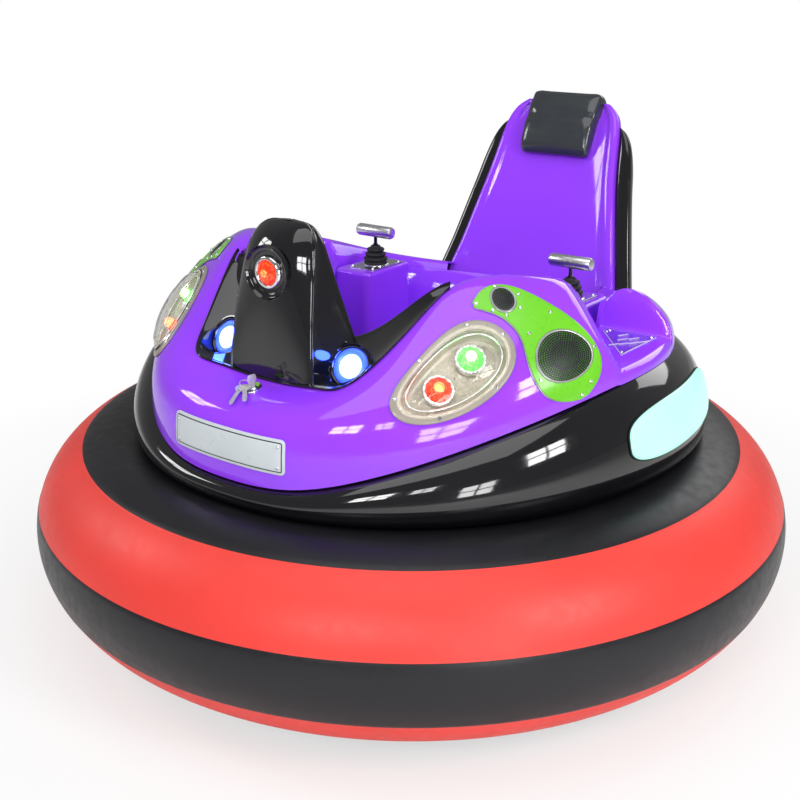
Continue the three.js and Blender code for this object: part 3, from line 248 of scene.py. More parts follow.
class Shape:
    """Faces gathered for one piece."""

    def __init__(self):
        self.points, self.faces, self.finishes, self.count = [], [], [], 0

    def add(self, made, finish_index=0):
        points, faces = made
        points = np.asarray(points, float).reshape(-1, 3)
        self.faces += [tuple(int(i) + self.count for i in face) for face in faces]
        self.finishes += [finish_index] * len(faces)
        self.points.append(points)
        self.count += len(points)
        return self

    def mirrored(self):
        other = Shape()
        other.points = [points * (-1, 1, 1) for points in self.points]
        other.faces = [face[::-1] for face in self.faces]
        other.finishes, other.count = list(self.finishes), self.count
        return other

    def build(self, name, finishes, slot, replaces=(), body="car", sharp=35, merge=0.02):
        mesh = bpy.data.meshes.new(name)
        mesh.from_pydata((np.vstack(self.points) * MM).tolist(), [], self.faces)
        for material in finishes:
            mesh.materials.append(material)
        mesh.polygons.foreach_set("material_index", self.finishes)
        cleaned(mesh, merge * MM)
        smoothed(mesh, sharp)
        piece = into_scene(name, mesh)
        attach(piece, body)
        if replaces:
            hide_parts(*replaces)
        return piece


def build_pair(shape, name, finishes, slot, node_name=None, body="car", **more):
    """The same piece on the driver's left (+X) and right (-X)."""
    for side, made in (("left", shape), ("right", shape.mirrored())):
        replaced = [f"{node_name}_{side}"] if node_name else []
        made.build(f"{name}_{side}", finishes, slot, replaced, body.format(side=side), **more)


def turns(count):
    return np.linspace(0, 2 * np.pi, count, endpoint=False)


def oblong(x0, y0, x1, y1):
    return [(x0, y0), (x1, y0), (x1, y1), (x0, y1)]


def loft(rows, foot=True):
    """Closed sections joined up and closed at the last end, and at the foot unless it is left open."""
    points, faces = grid(rows, across=True)
    count = len(rows[0])
    last = (len(rows) - 1) * count
    ends = [list(range(count))[::-1], [last + i for i in range(count)]]
    return points, faces + (ends if foot else ends[1:])


def lathe(profile, steps=32):
    """Radius and height points turned round the Z axis."""
    profile = np.asarray(profile, float)
    turn = turns(steps)[:, None]
    r, z = profile[:, 0], profile[:, 1]
    rows = np.stack([r * np.cos(turn), r * np.sin(turn), z + 0 * turn], -1)
    return grid(rows, around=True)


def aim(made, origin, axis, spin=0.0):
    """The shape with its Z axis turned to an axis, and its own origin put at a point."""
    points, faces = made
    axis = np.asarray(axis, float) / np.linalg.norm(axis)
    side = np.cross(axis, (0, 0, 1.0) if abs(axis[2]) < 0.9 else (0, 1.0, 0))
    side /= np.linalg.norm(side)
    other = np.cross(axis, side)
    u = side * math.cos(spin) + other * math.sin(spin)
    v = np.cross(axis, u)
    points = np.asarray(points, float).reshape(-1, 3)
    return points @ np.array([u, v, axis]) + np.asarray(origin, float), faces


def moved(made, x=0.0, y=0.0, z=0.0):
    return np.asarray(made[0], float) + (x, y, z), made[1]


def rounded(points, radius, steps=4, closed=True):
    """Outline with its corners rounded."""
    points = np.asarray(points, float)
    out = []
    for i, corner in enumerate(points):
        if not closed and i in (0, len(points) - 1):
            out.append(corner)
            continue
        before, after = points[i - 1] - corner, points[(i + 1) % len(points)] - corner
        reach = min(radius, 0.48 * np.linalg.norm(before), 0.48 * np.linalg.norm(after))
        a, b = (corner + reach * d / np.linalg.norm(d) for d in (before, after))
        for f in np.linspace(0, 1, steps + 1):
            out.append((1 - f) ** 2 * a + 2 * f * (1 - f) * corner + f * f * b)
    return np.array(out)


def offset(outline, distance):
    """Closed outline moved outwards, whichever way it turns."""
    outline = np.asarray(outline, float)
    along_edge = np.roll(outline, -1, 0) - outline
    length = np.linalg.norm(along_edge, axis=1, keepdims=True)
    edge_normal = np.c_[along_edge[:, 1], -along_edge[:, 0]] / np.maximum(length, 1e-9)
    x, y = outline[:, 0], outline[:, 1]
    area = np.sum(x * np.roll(y, -1) - y * np.roll(x, -1))
    normal = (edge_normal + np.roll(edge_normal, 1, 0)) * np.sign(area)
    length = np.maximum(np.linalg.norm(normal, axis=1, keepdims=True), 0.6)
    return outline + 2 * distance * normal / length ** 2


def slab(outline, low, high, edge=1.0, steps=3, both=False):
    """Solid over a flat outline, with its upper edge rounded, or both edges."""
    quarter = np.linspace(0, np.pi / 2, steps + 1)
    top = [(edge * (1 - math.cos(a)), high - edge * (1 - math.sin(a))) for a in quarter]
    bottom = [(0, low)]
    if both:
        bottom = [(edge * (1 - math.cos(a)), low + edge * (1 - math.sin(a))) for a in quarter[::-1]]
    rings = [np.c_[offset(outline, -inset), np.full(len(outline), z)] for inset, z in bottom + top]
    return loft(rings)


def screw(radius=4.2, height=2.4):
    return lathe([(0, 0.45 * height), (0.34 * radius, 0.45 * height), (0.42 * radius, height * 0.96),
                  (0.62 * radius, 0.93 * height), (0.88 * radius, 0.62 * height), (radius, 0.2 * height),
                  (radius, -1.0), (0, -1.0)], 18)


# ---------------------------------------------------------------- smooth sections
def weights(t):
    """Shares of four control points in a cubic B-spline."""
    second, third = 3 * t ** 3 - 6 * t * t + 4, -3 * t ** 3 + 3 * t * t + 3 * t + 1
    return np.stack([(1 - t) ** 3, second, third, t ** 3], -1) / 6


def along(points, t):
    """Smooth curve drawn by control points, from 0 to their number less one."""
    p = np.asarray(points, float)
    p = np.vstack([2 * p[:1] - p[1:2], p, 2 * p[-1:] - p[-2:-1]])
    t = np.asarray(t, float)
    i = np.clip(np.floor(t).astype(int), 0, len(points) - 2)
    w = weights(t - i)
    return sum(w[..., k, None] * p[i + k] for k in range(4))


def polar(radius, degrees, z):
    a = np.radians(degrees)
    return np.stack(np.broadcast_arrays(radius * np.sin(a), -radius * np.cos(a), z), -1)


class Panel:
    """Moulded panel drawn as sections every 15 degrees, from the front round to the rear, the same on
    both sides. A section's points are [inwards from the ring's centre circle, up from its top]."""

    STEP = 15.0

    def __init__(self, sections):
        net = np.array(sections, float)
        net = np.concatenate([2 * net[:, :1] - net[:, 1:2], net, 2 * net[:, -1:] - net[:, -2:-1]], 1)
        self.net = np.concatenate([net[1:2], net, net[-2:-1]], 0)
        self.last = len(sections[0]) - 1

    def flat(self, degrees, t):
        """Radius and height."""
        degrees, t = np.broadcast_arrays(np.asarray(degrees, float), np.asarray(t, float))
        turn = np.abs((degrees + 540) % 360 - 180) / self.STEP
        i = np.clip(np.floor(turn).astype(int), 0, len(self.net) - 4)
        j = np.clip(np.floor(t).astype(int), 0, self.last - 1)
        wi, wj = weights(turn - i), weights(t - j)
        at = sum(wi[..., a, None] * wj[..., b, None] * self.net[i + a, j + b]
                 for a in range(4) for b in range(4))
        return RING_R - at[..., 0], RING_TOP + at[..., 1]

    def point(self, degrees, t):
        radius, z = self.flat(degrees, t)
        return polar(radius, degrees, z)

    def normal(self, degrees, t):
        s = np.clip(t, 0.01, self.last - 0.01)
        across = self.point(degrees + 0.05, s) - self.point(degrees - 0.05, s)
        up = self.point(degrees, s + 0.01) - self.point(degrees, s - 0.01)
        normal = np.cross(across, up)
        return normal / np.linalg.norm(normal, axis=-1, keepdims=True)

    def t_where(self, degrees, wanted, which=0):
        """Where the section reaches a distance inwards (which 0) or a height (which 1)."""
        degrees = np.asarray(degrees, float)
        low, high = np.zeros(degrees.shape), np.full(degrees.shape, float(self.last))
        for _ in range(26):
            middle = (low + high) / 2
            radius, z = self.flat(degrees, middle)
            past = (RING_R - radius > wanted) if which == 0 else (z - RING_TOP > wanted)
            high = np.where(past, middle, high)
            low = np.where(past, low, middle)
        return (low + high) / 2

    def place(self, degrees, t, tilt=0.0, shaped=None):
        """Function from (u along, v up, height) round a point of the panel to a point; shaped() bends
        the panel's points first."""
        shaped = shaped or (lambda points: points)
        radius = self.flat(degrees, t)[0]
        rise = np.linalg.norm(self.point(degrees, t + 0.1) - self.point(degrees, t - 0.1)) / 0.2
        cos, sin = math.cos(tilt), math.sin(tilt)

        def domain(u, v):
            u, v = np.asarray(u, float), np.asarray(v, float)
            return degrees + np.degrees((u * cos - v * sin) / radius), t + (u * sin + v * cos) / rise

        def normal(u, v):
            around = ((1, 0), (-1, 0), (0, 1), (0, -1))
            ends = [shaped(self.point(*domain(u + du, v + dv))) for du, dv in around]
            across = np.cross(ends[0] - ends[1], ends[2] - ends[3])
            return across / np.linalg.norm(across, axis=-1, keepdims=True)

        def at(u, v, height):
            u, v = np.asarray(u, float), np.asarray(v, float)
            return shaped(self.point(*domain(u, v))) + normal(u, v) * np.asarray(height, float)[..., None]

        at.domain, at.axis = domain, normal
        return at


BODY_SECTIONS = [
    [[62, 48], [62, 106], [68, 176], [98, 202], [144, 210], [186, 215], [210, 217], [230, 217]],
    [[50, 53], [50, 112], [58, 182], [90, 210], [136, 220], [180, 226], [204, 228], [224, 228]],
    [[68, 99], [66, 152], [82, 210], [122, 248], [166, 278], [204, 296], [226, 298], [244, 292]],
    [[96, 142], [98, 190], [128, 248], [176, 304], [230, 362], [278, 418], [310, 428], [336, 396]],
    [[98, 186], [99, 232], [126, 284], [172, 336], [226, 388], [282, 438], [320, 442], [344, 408]],
    [[96, 218], [97, 258], [116, 306], [154, 354], [202, 396], [260, 432], [302, 432], [328, 398]],
    [[91, 230], [92, 264], [106, 302], [136, 340], [180, 378], [232, 402], [276, 398], [306, 368]],
    [[84, 222], [85, 250], [96, 284], [122, 318], [160, 352], [206, 372], [248, 366], [278, 338]],
    [[78, 214], [80, 236], [92, 264], [116, 292], [148, 318], [184, 332], [216, 324], [238, 302]],
    [[78, 210], [80, 226], [90, 244], [108, 260], [130, 274], [152, 280], [170, 274], [182, 258]],
    [[81, 208], [83, 218], [91, 230], [104, 240], [120, 248], [134, 250], [144, 244], [152, 230]],
    [[84, 208], [86, 216], [92, 226], [102, 234], [116, 240], [128, 242], [140, 236], [148, 224]],
    [[84, 208], [86, 216], [92, 226], [102, 234], [114, 240], [126, 242], [138, 236], [146, 224]],
]
SKIRT_SECTIONS = [
    [[62, 48], [44, 40], [38, 22], [46, 2], [70, -14]],
    [[50, 53], [32, 43], [25, 24], [36, 1], [64, -12]],
    [[68, 99], [44, 84], [30, 51], [34, 12], [62, -8]],
    [[96, 142], [64, 126], [36, 81], [32, 26], [56, -4]],
    [[98, 186], [62, 164], [34, 106], [28, 41], [48, 4]],
    [[96, 218], [58, 191], [30, 126], [22, 51], [38, 11]],
    [[91, 230], [53, 201], [24, 136], [12, 56], [22, 16]],
    [[84, 222], [46, 196], [14, 136], [0, 61], [2, 21]],
    [[78, 214], [42, 188], [8, 131], [-8, 61], [-8, 21]],
    [[78, 210], [44, 182], [10, 128], [-10, 60], [-10, 21]],
    [[81, 208], [46, 180], [11, 126], [-10, 60], [-10, 21]],
    [[84, 208], [48, 180], [12, 126], [-10, 60], [-10, 21]],
    [[84, 208], [48, 180], [12, 126], [-10, 60], [-10, 21]],
]
SKIRT_FOOT = [96, 94, 90, 85, 76, 62, 46, 16, -4, -6, -6, -6, -6]
LINING_FOOT = [256, 256, 260, 264, 268, 266, 256, 244, 232, 226, 226, 226, 226]
SKIRT_LIP = (8, 22)                 # in under the body's lower edge


def skirt_sections():
    made = []
    for (lip, *rest), foot in zip(SKIRT_SECTIONS, SKIRT_FOOT):
        foot_up = math.sqrt(SECTION_R ** 2 - foot ** 2) - SECTION_R + 1.2
        lips = [[lip[0] + depth, lip[1] - 0.6 - 0.04 * depth] for depth in SKIRT_LIP]
        made.append([[foot, foot_up], *rest[::-1], *lips])
    return made


def lining_sections():
    floor = DECK - RING_TOP
    made = []
    for (*_, (a, b), (c, d)), foot in zip(BODY_SECTIONS, LINING_FOOT):
        length = math.hypot(c - a, d - b)
        da, db = (c - a) / length, (d - b) / length
        made.append([[c + da * 0.6, d + db * 0.6], [c + da * 30, d + db * 30], [(c + foot) / 2, d / 2 + 20],
                     [max(foot - 30, 196), -54], [foot - 8, -150], [foot, floor + 50], [foot, floor]])
    return made


body = Panel(BODY_SECTIONS)
skirt = Panel(skirt_sections())
lining = Panel(lining_sections())


def shell(points, normals, faces, wall):
    """Sheet of triangles or quads to a closed shell of even thickness."""
    count = len(points)
    edges = {}
    for face in faces:
        for a, b in zip(face, [*face[1:], face[0]]):
            edges[(a, b)] = True
    rims = [(a, b) for a, b in edges if (b, a) not in edges]
    inner = [[i + count for i in face[::-1]] for face in faces]
    walls = [[b, a, a + count, b + count] for a, b in rims]
    return np.vstack([points, points - wall * normals]), [list(f) for f in faces] + inner + walls


def sheet_normals(points, faces):
    """Normals of a sheet at its points, from the faces round them."""
    normals = np.zeros_like(points)
    for face in faces:
        a, b, c = points[face[0]], points[face[1]], points[face[2]]
        n = np.cross(b - a, c - a)
        for i in face:
            normals[i] += n
    return normals / np.maximum(np.linalg.norm(normals, axis=1, keepdims=True), 1e-12)


# ---------------------------------------------------------------- inflated ring
RED_BANDS = ((15.2, 65.3), (-70.0, -26.1))        # angle up from level, round the tube's section
LAP = 0.9                                         # welded overlap of the bands


def bumper_ring():
    edges = sorted(v for band in RED_BANDS for v in band)
    angles = [a for a in np.arange(-180, 180, 3.0) if min(abs(a - e) for e in edges) > 1.2]
    angles = sorted(angles + [e + side for e in edges for side in (-0.45, 0.45)])

    def is_red(a):
        return any(low < a < high for low, high in RED_BANDS)

    radius = np.array([SECTION_R - (LAP if is_red(a) else 0) for a in angles])
    turn = turns(240)[:, None]
    rad = np.radians(angles)
    r, z = RING_R + radius * np.cos(rad), RING_Z + radius * np.sin(rad)
    rows = np.stack([r * np.cos(turn), r * np.sin(turn), z + 0 * turn], -1)
    points, faces = grid(rows, around=True, across=True)
    shape = Shape().add((points, faces))
    count = len(angles)
    middles = [(angles[j] + angles[(j + 1) % count]) / 2 if j + 1 < count else 180.0 for j in range(count)]
    shape.finishes = [0 if is_red(middles[i % count]) else 1 for i in range(len(faces))]
    shape.build("bumper_ring", [RED_PVC, BLACK_PVC], "ring_pvc", ["bumper_tube"], sharp=60)


# ---------------------------------------------------------------- body shell
WELL_FRONT = ((656, -161), (396, 179), 1 / 0.55)      # foot of the step's front wall, and its slope
WELL_REAR = ((396, 193), (656, 210), 7.0)
WELL_BLEND = 52.0                                     # rounding of the walls' upper edges
WELL_FOOT = 5.0


def wall_distance(wall, x, y):
    """Distance outwards from the foot of a wall, in plan."""
    (x0, y0), (x1, y1), _ = wall
    along_x, along_y = x1 - x0, y1 - y0
    away = (np.abs(x) - x0) * along_y - (y - y0) * along_x
    inside = (500 - x0) * along_y - (110 - y0) * along_x
    return -np.sign(inside) * away / math.hypot(along_x, along_y)


def well_height(x, y):
    total = 0.0
    for wall in (WELL_FRONT, WELL_REAR):
        d = wall_distance(wall, x, y)
        curved = (d + WELL_FOOT) ** 2 / (4 * WELL_FOOT)
        lift = np.where(d < -WELL_FOOT, 0.0, np.where(d > WELL_FOOT, d, curved))
        total = total + (lift * wall[2]) ** 3
    return STEP_Z + np.cbrt(total)


def with_well(points):
    """The body's outer face with the boarding steps let into it."""
    x, y, z = points[..., 0], points[..., 1], points[..., 2]
    floor = well_height(x, y)
    k = WELL_BLEND
    h = np.clip(0.5 + 0.5 * (floor - z) / k, 0, 1)
    sunk = floor * (1 - h) + z * h - k * h * (1 - h)
    return np.stack([x, y, np.minimum(z, sunk)], -1)


def to_domain(x, y):
    degrees = np.degrees(np.arctan2(x, -y))
    radius = np.hypot(x, y)
    return degrees, body.t_where(degrees, RING_R - radius)


def well_lines():
    """Lines beside the well's walls and along its outer edge, in the body's (degrees, t)."""
    lines = []
    offsets = {
        0: (-8, -5, -2, 1, 4, 8, 14, 22, 32, 44, 58, 74, 92, 112, 134),
        1: (-8, -5, -2.5, 0, 2.5, 5, 7.5, 10, 13, 17, 22, 30),
    }
    walls = (WELL_FRONT, WELL_REAR)
    for k, wall in enumerate(walls):
        (x0, y0), (x1, y1), _ = wall
        length = math.hypot(x1 - x0, y1 - y0)
        ux, uy = (x1 - x0) / length, (y1 - y0) / length
        sign = np.sign(wall_distance(wall, x0 + uy, y0 - ux))
        reach = np.arange(-60, length + 60, 5.0)
        for offset_out in offsets[k]:
            x = x0 + ux * reach + sign * uy * offset_out
            y = y0 + uy * reach - sign * ux * offset_out
            degrees, t = to_domain(x, y)
            z = body.flat(degrees, t)[1]
            good = (t > 0.3) & (t < body.last - 0.03) & (z > STEP_Z - 12)
            good &= wall_distance(walls[1 - k], x, y) < (36, 150)[k]
            lines += runs(degrees, t, good)
    for above in (-40, -28, -18, -9, -2, 5, 13, 22, 34, 50):
        degrees = np.arange(84, 116, 0.6)
        t = body.t_where(degrees, STEP_Z + above - RING_TOP, 1)
        at = body.point(degrees, t)
        good = wall_distance(WELL_FRONT, at[:, 0], at[:, 1]) < 60
        good &= wall_distance(WELL_REAR, at[:, 0], at[:, 1]) < 16
        lines += runs(degrees, t, good)
    return [line for line in lines if len(line) > 1]


def runs(degrees, t, good):
    """The unbroken runs of good points."""
    found, run = [], []
    for ok, d, v in zip(good, degrees, t):
        if ok:
            run.append((d, v))
        elif run:
            found.append(run)
            run = []
    return [*found, run]


SIDE_LIGHT = {"degrees": 45.5, "t": 2.66, "a": 128, "b": 92, "tilt": 0.22}
light_place = body.place(SIDE_LIGHT["degrees"], SIDE_LIGHT["t"], SIDE_LIGHT["tilt"])
LAMP_AXIS = np.array([0.12, -0.86, 0.5]) / math.sqrt(0.12 ** 2 + 0.86 ** 2 + 0.5 ** 2)
LAMP = np.array([171, 256 - RING_R, RING_TOP + 270])
LAMP_R = 45.0
LAMP_OPENING = 42.0                 # radius that the body and lining leave round a lamp's axis
HUMP_HALF = 98.0                    # half width that they leave for the hump
OPENINGS_FROM = RING_TOP + 190      # neither opening reaches below this
SIDE_LAMPS = {"red": (-38, -9), "green": (39, 13)}      # (u, v) in the side light


# The black tray's outer edge as [degrees, inwards], and its rim as [degrees, inwards, up].
FASCIA_EDGE = [[0, 196], [8, 192], [15, 170], [20, 142], [24, 158], [30, 206], [37, 250], [44, 282],
               [49, 300]]
FASCIA_RIM = [[0, 318, 284], [10, 320, 286], [17, 324, 296], [22, 326, 308], [27, 326, 326], [33, 322, 356],
              [39, 316, 390], [45, 314, 417], [49.5, 316, 424]]


def tray_edge(degrees):
    """How far in the fascia tray's outer edge lies."""
    at, inwards = along(FASCIA_EDGE, np.linspace(0, len(FASCIA_EDGE) - 1, 200)).T
    return np.interp(degrees, at, inwards)


def tray_height(degrees, inwards):
    """Height of the fascia tray under a point in plan."""
    edge = tray_edge(degrees)
    edge_z = body.flat(degrees, body.t_where(degrees, edge))[1]
    at, rim_in, rim_up = along(FASCIA_RIM, np.linspace(0, len(FASCIA_RIM) - 1, 200)).T
    rim_in, rim_up = np.interp(degrees, at, rim_in), np.interp(degrees, at, rim_up)
    share = np.clip((inwards - edge) / (rim_in - edge), 0, 1)
    return edge_z + (RING_TOP + rim_up - edge_z) * share - 14 * np.sin(np.pi * share) ** 0.8


def in_light(degrees, t):
    """Share of the way from a side light's middle to its oval edge."""
    middle_degrees, middle_t = SIDE_LIGHT["degrees"], SIDE_LIGHT["t"]
    radius = body.flat(middle_degrees, middle_t)[0]
    ends = [body.point(middle_degrees, middle_t + step) for step in (0.1, -0.1)]
    rise = np.linalg.norm(ends[0] - ends[1]) / 0.2
    a, b = np.radians(degrees - middle_degrees) * radius, (t - middle_t) * rise
    cos, sin = math.cos(SIDE_LIGHT["tilt"]), math.sin(SIDE_LIGHT["tilt"])
    u, v = a * cos + b * sin, -a * sin + b * cos
    return np.hypot(u / SIDE_LIGHT["a"], v / SIDE_LIGHT["b"])


def from_lamp_axis(points):
    local = points - LAMP
    return np.linalg.norm(local - (local @ LAMP_AXIS)[:, None] * LAMP_AXIS, axis=1)


def body_domain():
    """Triangles over half of the body, in (degrees, t)."""
    flat_scale = np.array([9.5, 45.0])
    degrees = np.arange(0, 180.01, 1.5)
    steps = np.linspace(0, body.last, 71)
    d, t = (a.ravel() for a in np.meshgrid(degrees, steps, indexing="ij"))
    at = body.point(d, t)
    front, back = (wall_distance(wall, at[:, 0], at[:, 1]) for wall in (WELL_FRONT, WELL_REAR))
    z = at[:, 2]
    on_edge = (t < 1e-6) | (t > body.last - 1e-6)
    busy = (front > -12) & (front < 140) & (back < 30) & (z > STEP_Z - 10)
    busy |= (back > -12) & (back < 34) & (front < 140) & (z > STEP_Z - 10)
    busy |= (front < 55) & (back < 12) & (np.abs(z - STEP_Z - 5) < 50) & (d > 82) & (d < 118) & (t < 3.2)
    share = in_light(d, t)
    busy |= (share > 0.8) & (share < 0.94)
    keep = ~busy | on_edge
    grid_points = np.c_[d[keep], t[keep]]
    lines = well_lines()
    turn = turns(72)
    loop = np.stack(light_place.domain(111 * np.cos(turn), 80 * np.sin(turn)), -1)
    points = [grid_points]
    count = len(grid_points)
    edges = []
    for line in [*lines, np.vstack([loop, loop[:1]])]:
        line = np.array(line)
        points.append(line)
        edges += [(count + i, count + i + 1) for i in range(len(line) - 1)]
        count += len(line)
    for value in (0.0, 180.0):
        column = np.where(np.abs(grid_points[:, 0] - value) < 1e-6)[0]
        edges += list(zip(column[:-1].tolist(), column[1:].tolist()))
    flat = np.vstack(points) * flat_scale
    made = delaunay_2d_cdt([Vector(p) for p in flat], edges, [], 0, 0.02)
    out = np.array([tuple(v) for v in made[0]]) / flat_scale
    return out, np.array([list(f) for f in made[2] if len(f) == 3])


def used_only(points, faces):
    """Drops the points that no face uses."""
    used = np.unique(faces)
    renumber = np.full(len(points), -1)
    renumber[used] = np.arange(len(used))
    return points[used], renumber[faces]


def body_shell():
    domain, triangles = body_domain()
    degrees, t = domain[:, 0], np.clip(domain[:, 1], 0, body.last)
    degrees = np.clip(degrees, 0, 180)
    plain = body.point(degrees, t)
    points = with_well(plain)
    points[:, 0] = np.where(degrees < 1e-3, 0, np.where(degrees > 180 - 1e-3, 0, points[:, 0]))
    middle = plain[triangles].mean(1)
    share = in_light(domain[triangles][..., 0].mean(1), domain[triangles][..., 1].mean(1))
    gone = (middle[:, 0] < 238) & (middle[:, 1] > RING_R - 240)
    gone |= share < 0.87
    gone |= (from_lamp_axis(middle) < LAMP_OPENING) & (middle[:, 2] > OPENINGS_FROM)
    gone |= (middle[:, 0] < HUMP_HALF) & (middle[:, 1] < 0) & (RING_R + middle[:, 1] > 206)
    middle_degrees = domain[triangles][..., 0].mean(1)
    inwards = RING_R - np.hypot(middle[:, 0], middle[:, 1])
    under_tray = (middle_degrees < 48.5) & (inwards > tray_edge(middle_degrees) + 9)
    gone |= under_tray & (middle[:, 2] > RING_TOP + 150)
    a, b, c = (points[triangles[:, k]] for k in range(3))
    gone |= np.linalg.norm(np.cross(b - a, c - a), axis=1) < 0.02
    faces = triangles[~gone]
    across = np.cross(plain[faces[:, 1]] - plain[faces[:, 0]], plain[faces[:, 2]] - plain[faces[:, 0]])
    outwards = body.normal(degrees[faces[:, 0]], t[faces[:, 0]])
    flip = np.sum(across * outwards, 1) < 0
    faces[flip] = faces[flip][:, ::-1]
    half, half_faces = used_only(points, faces)
    on_seam = half[:, 0] < 1e-6
    other_index = np.where(on_seam, np.arange(len(half)), len(half) + np.arange(len(half)))
    both_points = np.vstack([half, half * (-1, 1, 1)])
    both_faces = np.vstack([half_faces, other_index[half_faces][:, ::-1]])
    points, faces = used_only(both_points, both_faces)
    faces = faces.tolist()
    shape = Shape().add(shell(points, sheet_normals(points, faces), faces, WALL - 1))
    shape.build("body_shell_gel", [PURPLE], "purple_shell", ["body_shell"], sharp=50, merge=0.001)


def panel_shell(panel, wall, degrees_step, steps, gone=None, shaped=None):
    """Shell over a whole panel, less the faces whose middle gone() names; shaped() bends its points."""
    degrees = np.arange(0, 360, degrees_step)
    t = np.linspace(0, panel.last, steps)
    d, s = np.meshgrid(degrees, t, indexing="ij")
    points = panel.point(d, s)
    points, faces = grid(shaped(points) if shaped else points, around=True)
    normals = panel.normal(d, s).reshape(-1, 3)
    faces = np.array(faces)
    if gone is not None:
        faces = faces[~gone(points[faces].mean(1))]
    a, b, c = (points[faces[:, k]] for k in range(3))
    facing = np.sum(np.cross(b - a, c - a) * normals[faces[:, 0]])
    faces = faces if facing > 0 else faces[:, ::-1]
    return shell(points, normals, faces.tolist(), wall)


def cockpit_lining():
    def under_neighbours(points):
        """Kept below the step wells and the fascia tray."""
        x, y, z = np.abs(points[..., 0]), points[..., 1], points[..., 2]
        beside_well = (wall_distance(WELL_REAR, x, y) < 4) & (y > -140) & (x > 300)
        z = np.where(beside_well, np.minimum(z, well_height(x, y) - 6), z)
        degrees = np.degrees(np.arctan2(x, -y))
        tray = tray_height(degrees, RING_R - np.hypot(x, y)) - 8
        z = np.where(degrees < 49, np.minimum(z, tray), z)
        return np.stack([points[..., 0], y, z], -1)

    def gone(middle):
        x, y, z = np.abs(middle[:, 0]), middle[:, 1], middle[:, 2]
        path = along(SEAT_PATH, np.linspace(7, SEAT_LAST, 120))
        behind_seat = (x < 234) & (y > np.interp(z, path[:, 1], path[:, 0]) + 9)
        hump = (x < HUMP_HALF) & (y < 0) & (RING_R + y < 296) & (z > OPENINGS_FROM)
        local = np.c_[x, y, z]
        lamp = (from_lamp_axis(local) < LAMP_OPENING) & ((local - LAMP) @ LAMP_AXIS > -16)
        return behind_seat | hump | (lamp & (z > OPENINGS_FROM))

    shape = Shape().add(panel_shell(lining, WALL, 1.5, 60, gone, under_neighbours))
    shape.build("cockpit_liner", [PURPLE], "purple_shell", ["cockpit_lining"], sharp=50, merge=0.001)


def skirt_shell():
    shape = Shape().add(panel_shell(skirt, WALL, 1.5, 64))
    shape.build("black_skirt", [BLACK_GEL], "black_shell", ["skirt"], sharp=50, merge=0.001)


# ---------------------------------------------------------------- seat
PAN_HALF = 237.7
SEAT_SLAB, SEAT_RECESS = 30.0, 16.0


def rear(y):
    return RING_R - y


SEAT_PATH = [
    [rear(568), DECK, PAN_HALF], [rear(568), DECK + 90, PAN_HALF], [rear(566), DECK + 180, PAN_HALF],
    [rear(556), DECK + 236, PAN_HALF], [rear(470), DECK + 228, PAN_HALF], [rear(370), DECK + 212, PAN_HALF],
    [rear(280), DECK + 200, PAN_HALF], [rear(234), DECK + 222, PAN_HALF], [rear(206), RING_TOP + 106, 258],
    [rear(178), RING_TOP + 206, 268], [rear(144), RING_TOP + 284, 242], [rear(116), RING_TOP + 368, 222],
    [rear(92), RING_TOP + 436, 206], [rear(68), RING_TOP + 500, 191], [rear(44), RING_TOP + 564, 180],
    [rear(18), RING_TOP + 626, 173], [rear(-8), RING_TOP + 670, 155], [rear(-22), RING_TOP + 686, 128],
]
SEAT_LAST = len(SEAT_PATH) - 1


def seat_frame(t):
    """Half width at t, and the function from (x, depth behind the front face) to a point."""
    y, z, half = along(SEAT_PATH, t)
    y0, z0 = along(SEAT_PATH, max(t - 0.05, 0))[:2]
    y1, z1 = along(SEAT_PATH, min(t + 0.05, SEAT_LAST))[:2]
    length = math.hypot(y1 - y0, z1 - z0)
    ny, nz = (z1 - z0) / length, -(y1 - y0) / length

    def at(x, depth):
        x, depth = np.broadcast_arrays(np.asarray(x, float), np.asarray(depth, float))
        return np.stack([x, y + ny * depth, z + nz * depth], -1)

    return half, at


def mirrored_run(half_run):
    """Half a section, from the side in to the middle, to the whole section."""
    half_run = np.asarray(half_run, float)
    return np.vstack([half_run * (-1, 1), half_run[:-1][::-1]])


def seat():
    rows = []
    for t in np.linspace(0, SEAT_LAST, 8 * SEAT_LAST + 1):
        w, at = seat_frame(t)
        front = [[w, 15], [w, 10], [w - 1.5, 4], [w - 7, 0.4], [w - 15, 0], [w - 26, 2.2], [0.84 * w, 6],
                 [0.78 * w, 9], [0.62 * w, 12.5], [0.45 * w, 15], [0.22 * w, 16], [0, SEAT_RECESS]]
        front = mirrored_run(along(front, np.linspace(0, len(front) - 1, 34)))
        back = mirrored_run(rounded([[w, 15], [w, SEAT_SLAB], [0, SEAT_SLAB]], 7, 5, closed=False))
        section = np.vstack([front, back[::-1][1:-1]])
        rows.append(at(section[:, 0], section[:, 1]))
    Shape().add(loft(rows)).build("seat_moulding", [PURPLE], "purple_shell", ["seat_shell"], sharp=55)


COVER = {"foot": 7.5, "top": 15.0, "depth": 88.0, "side": 40.0, "front": 15.0}


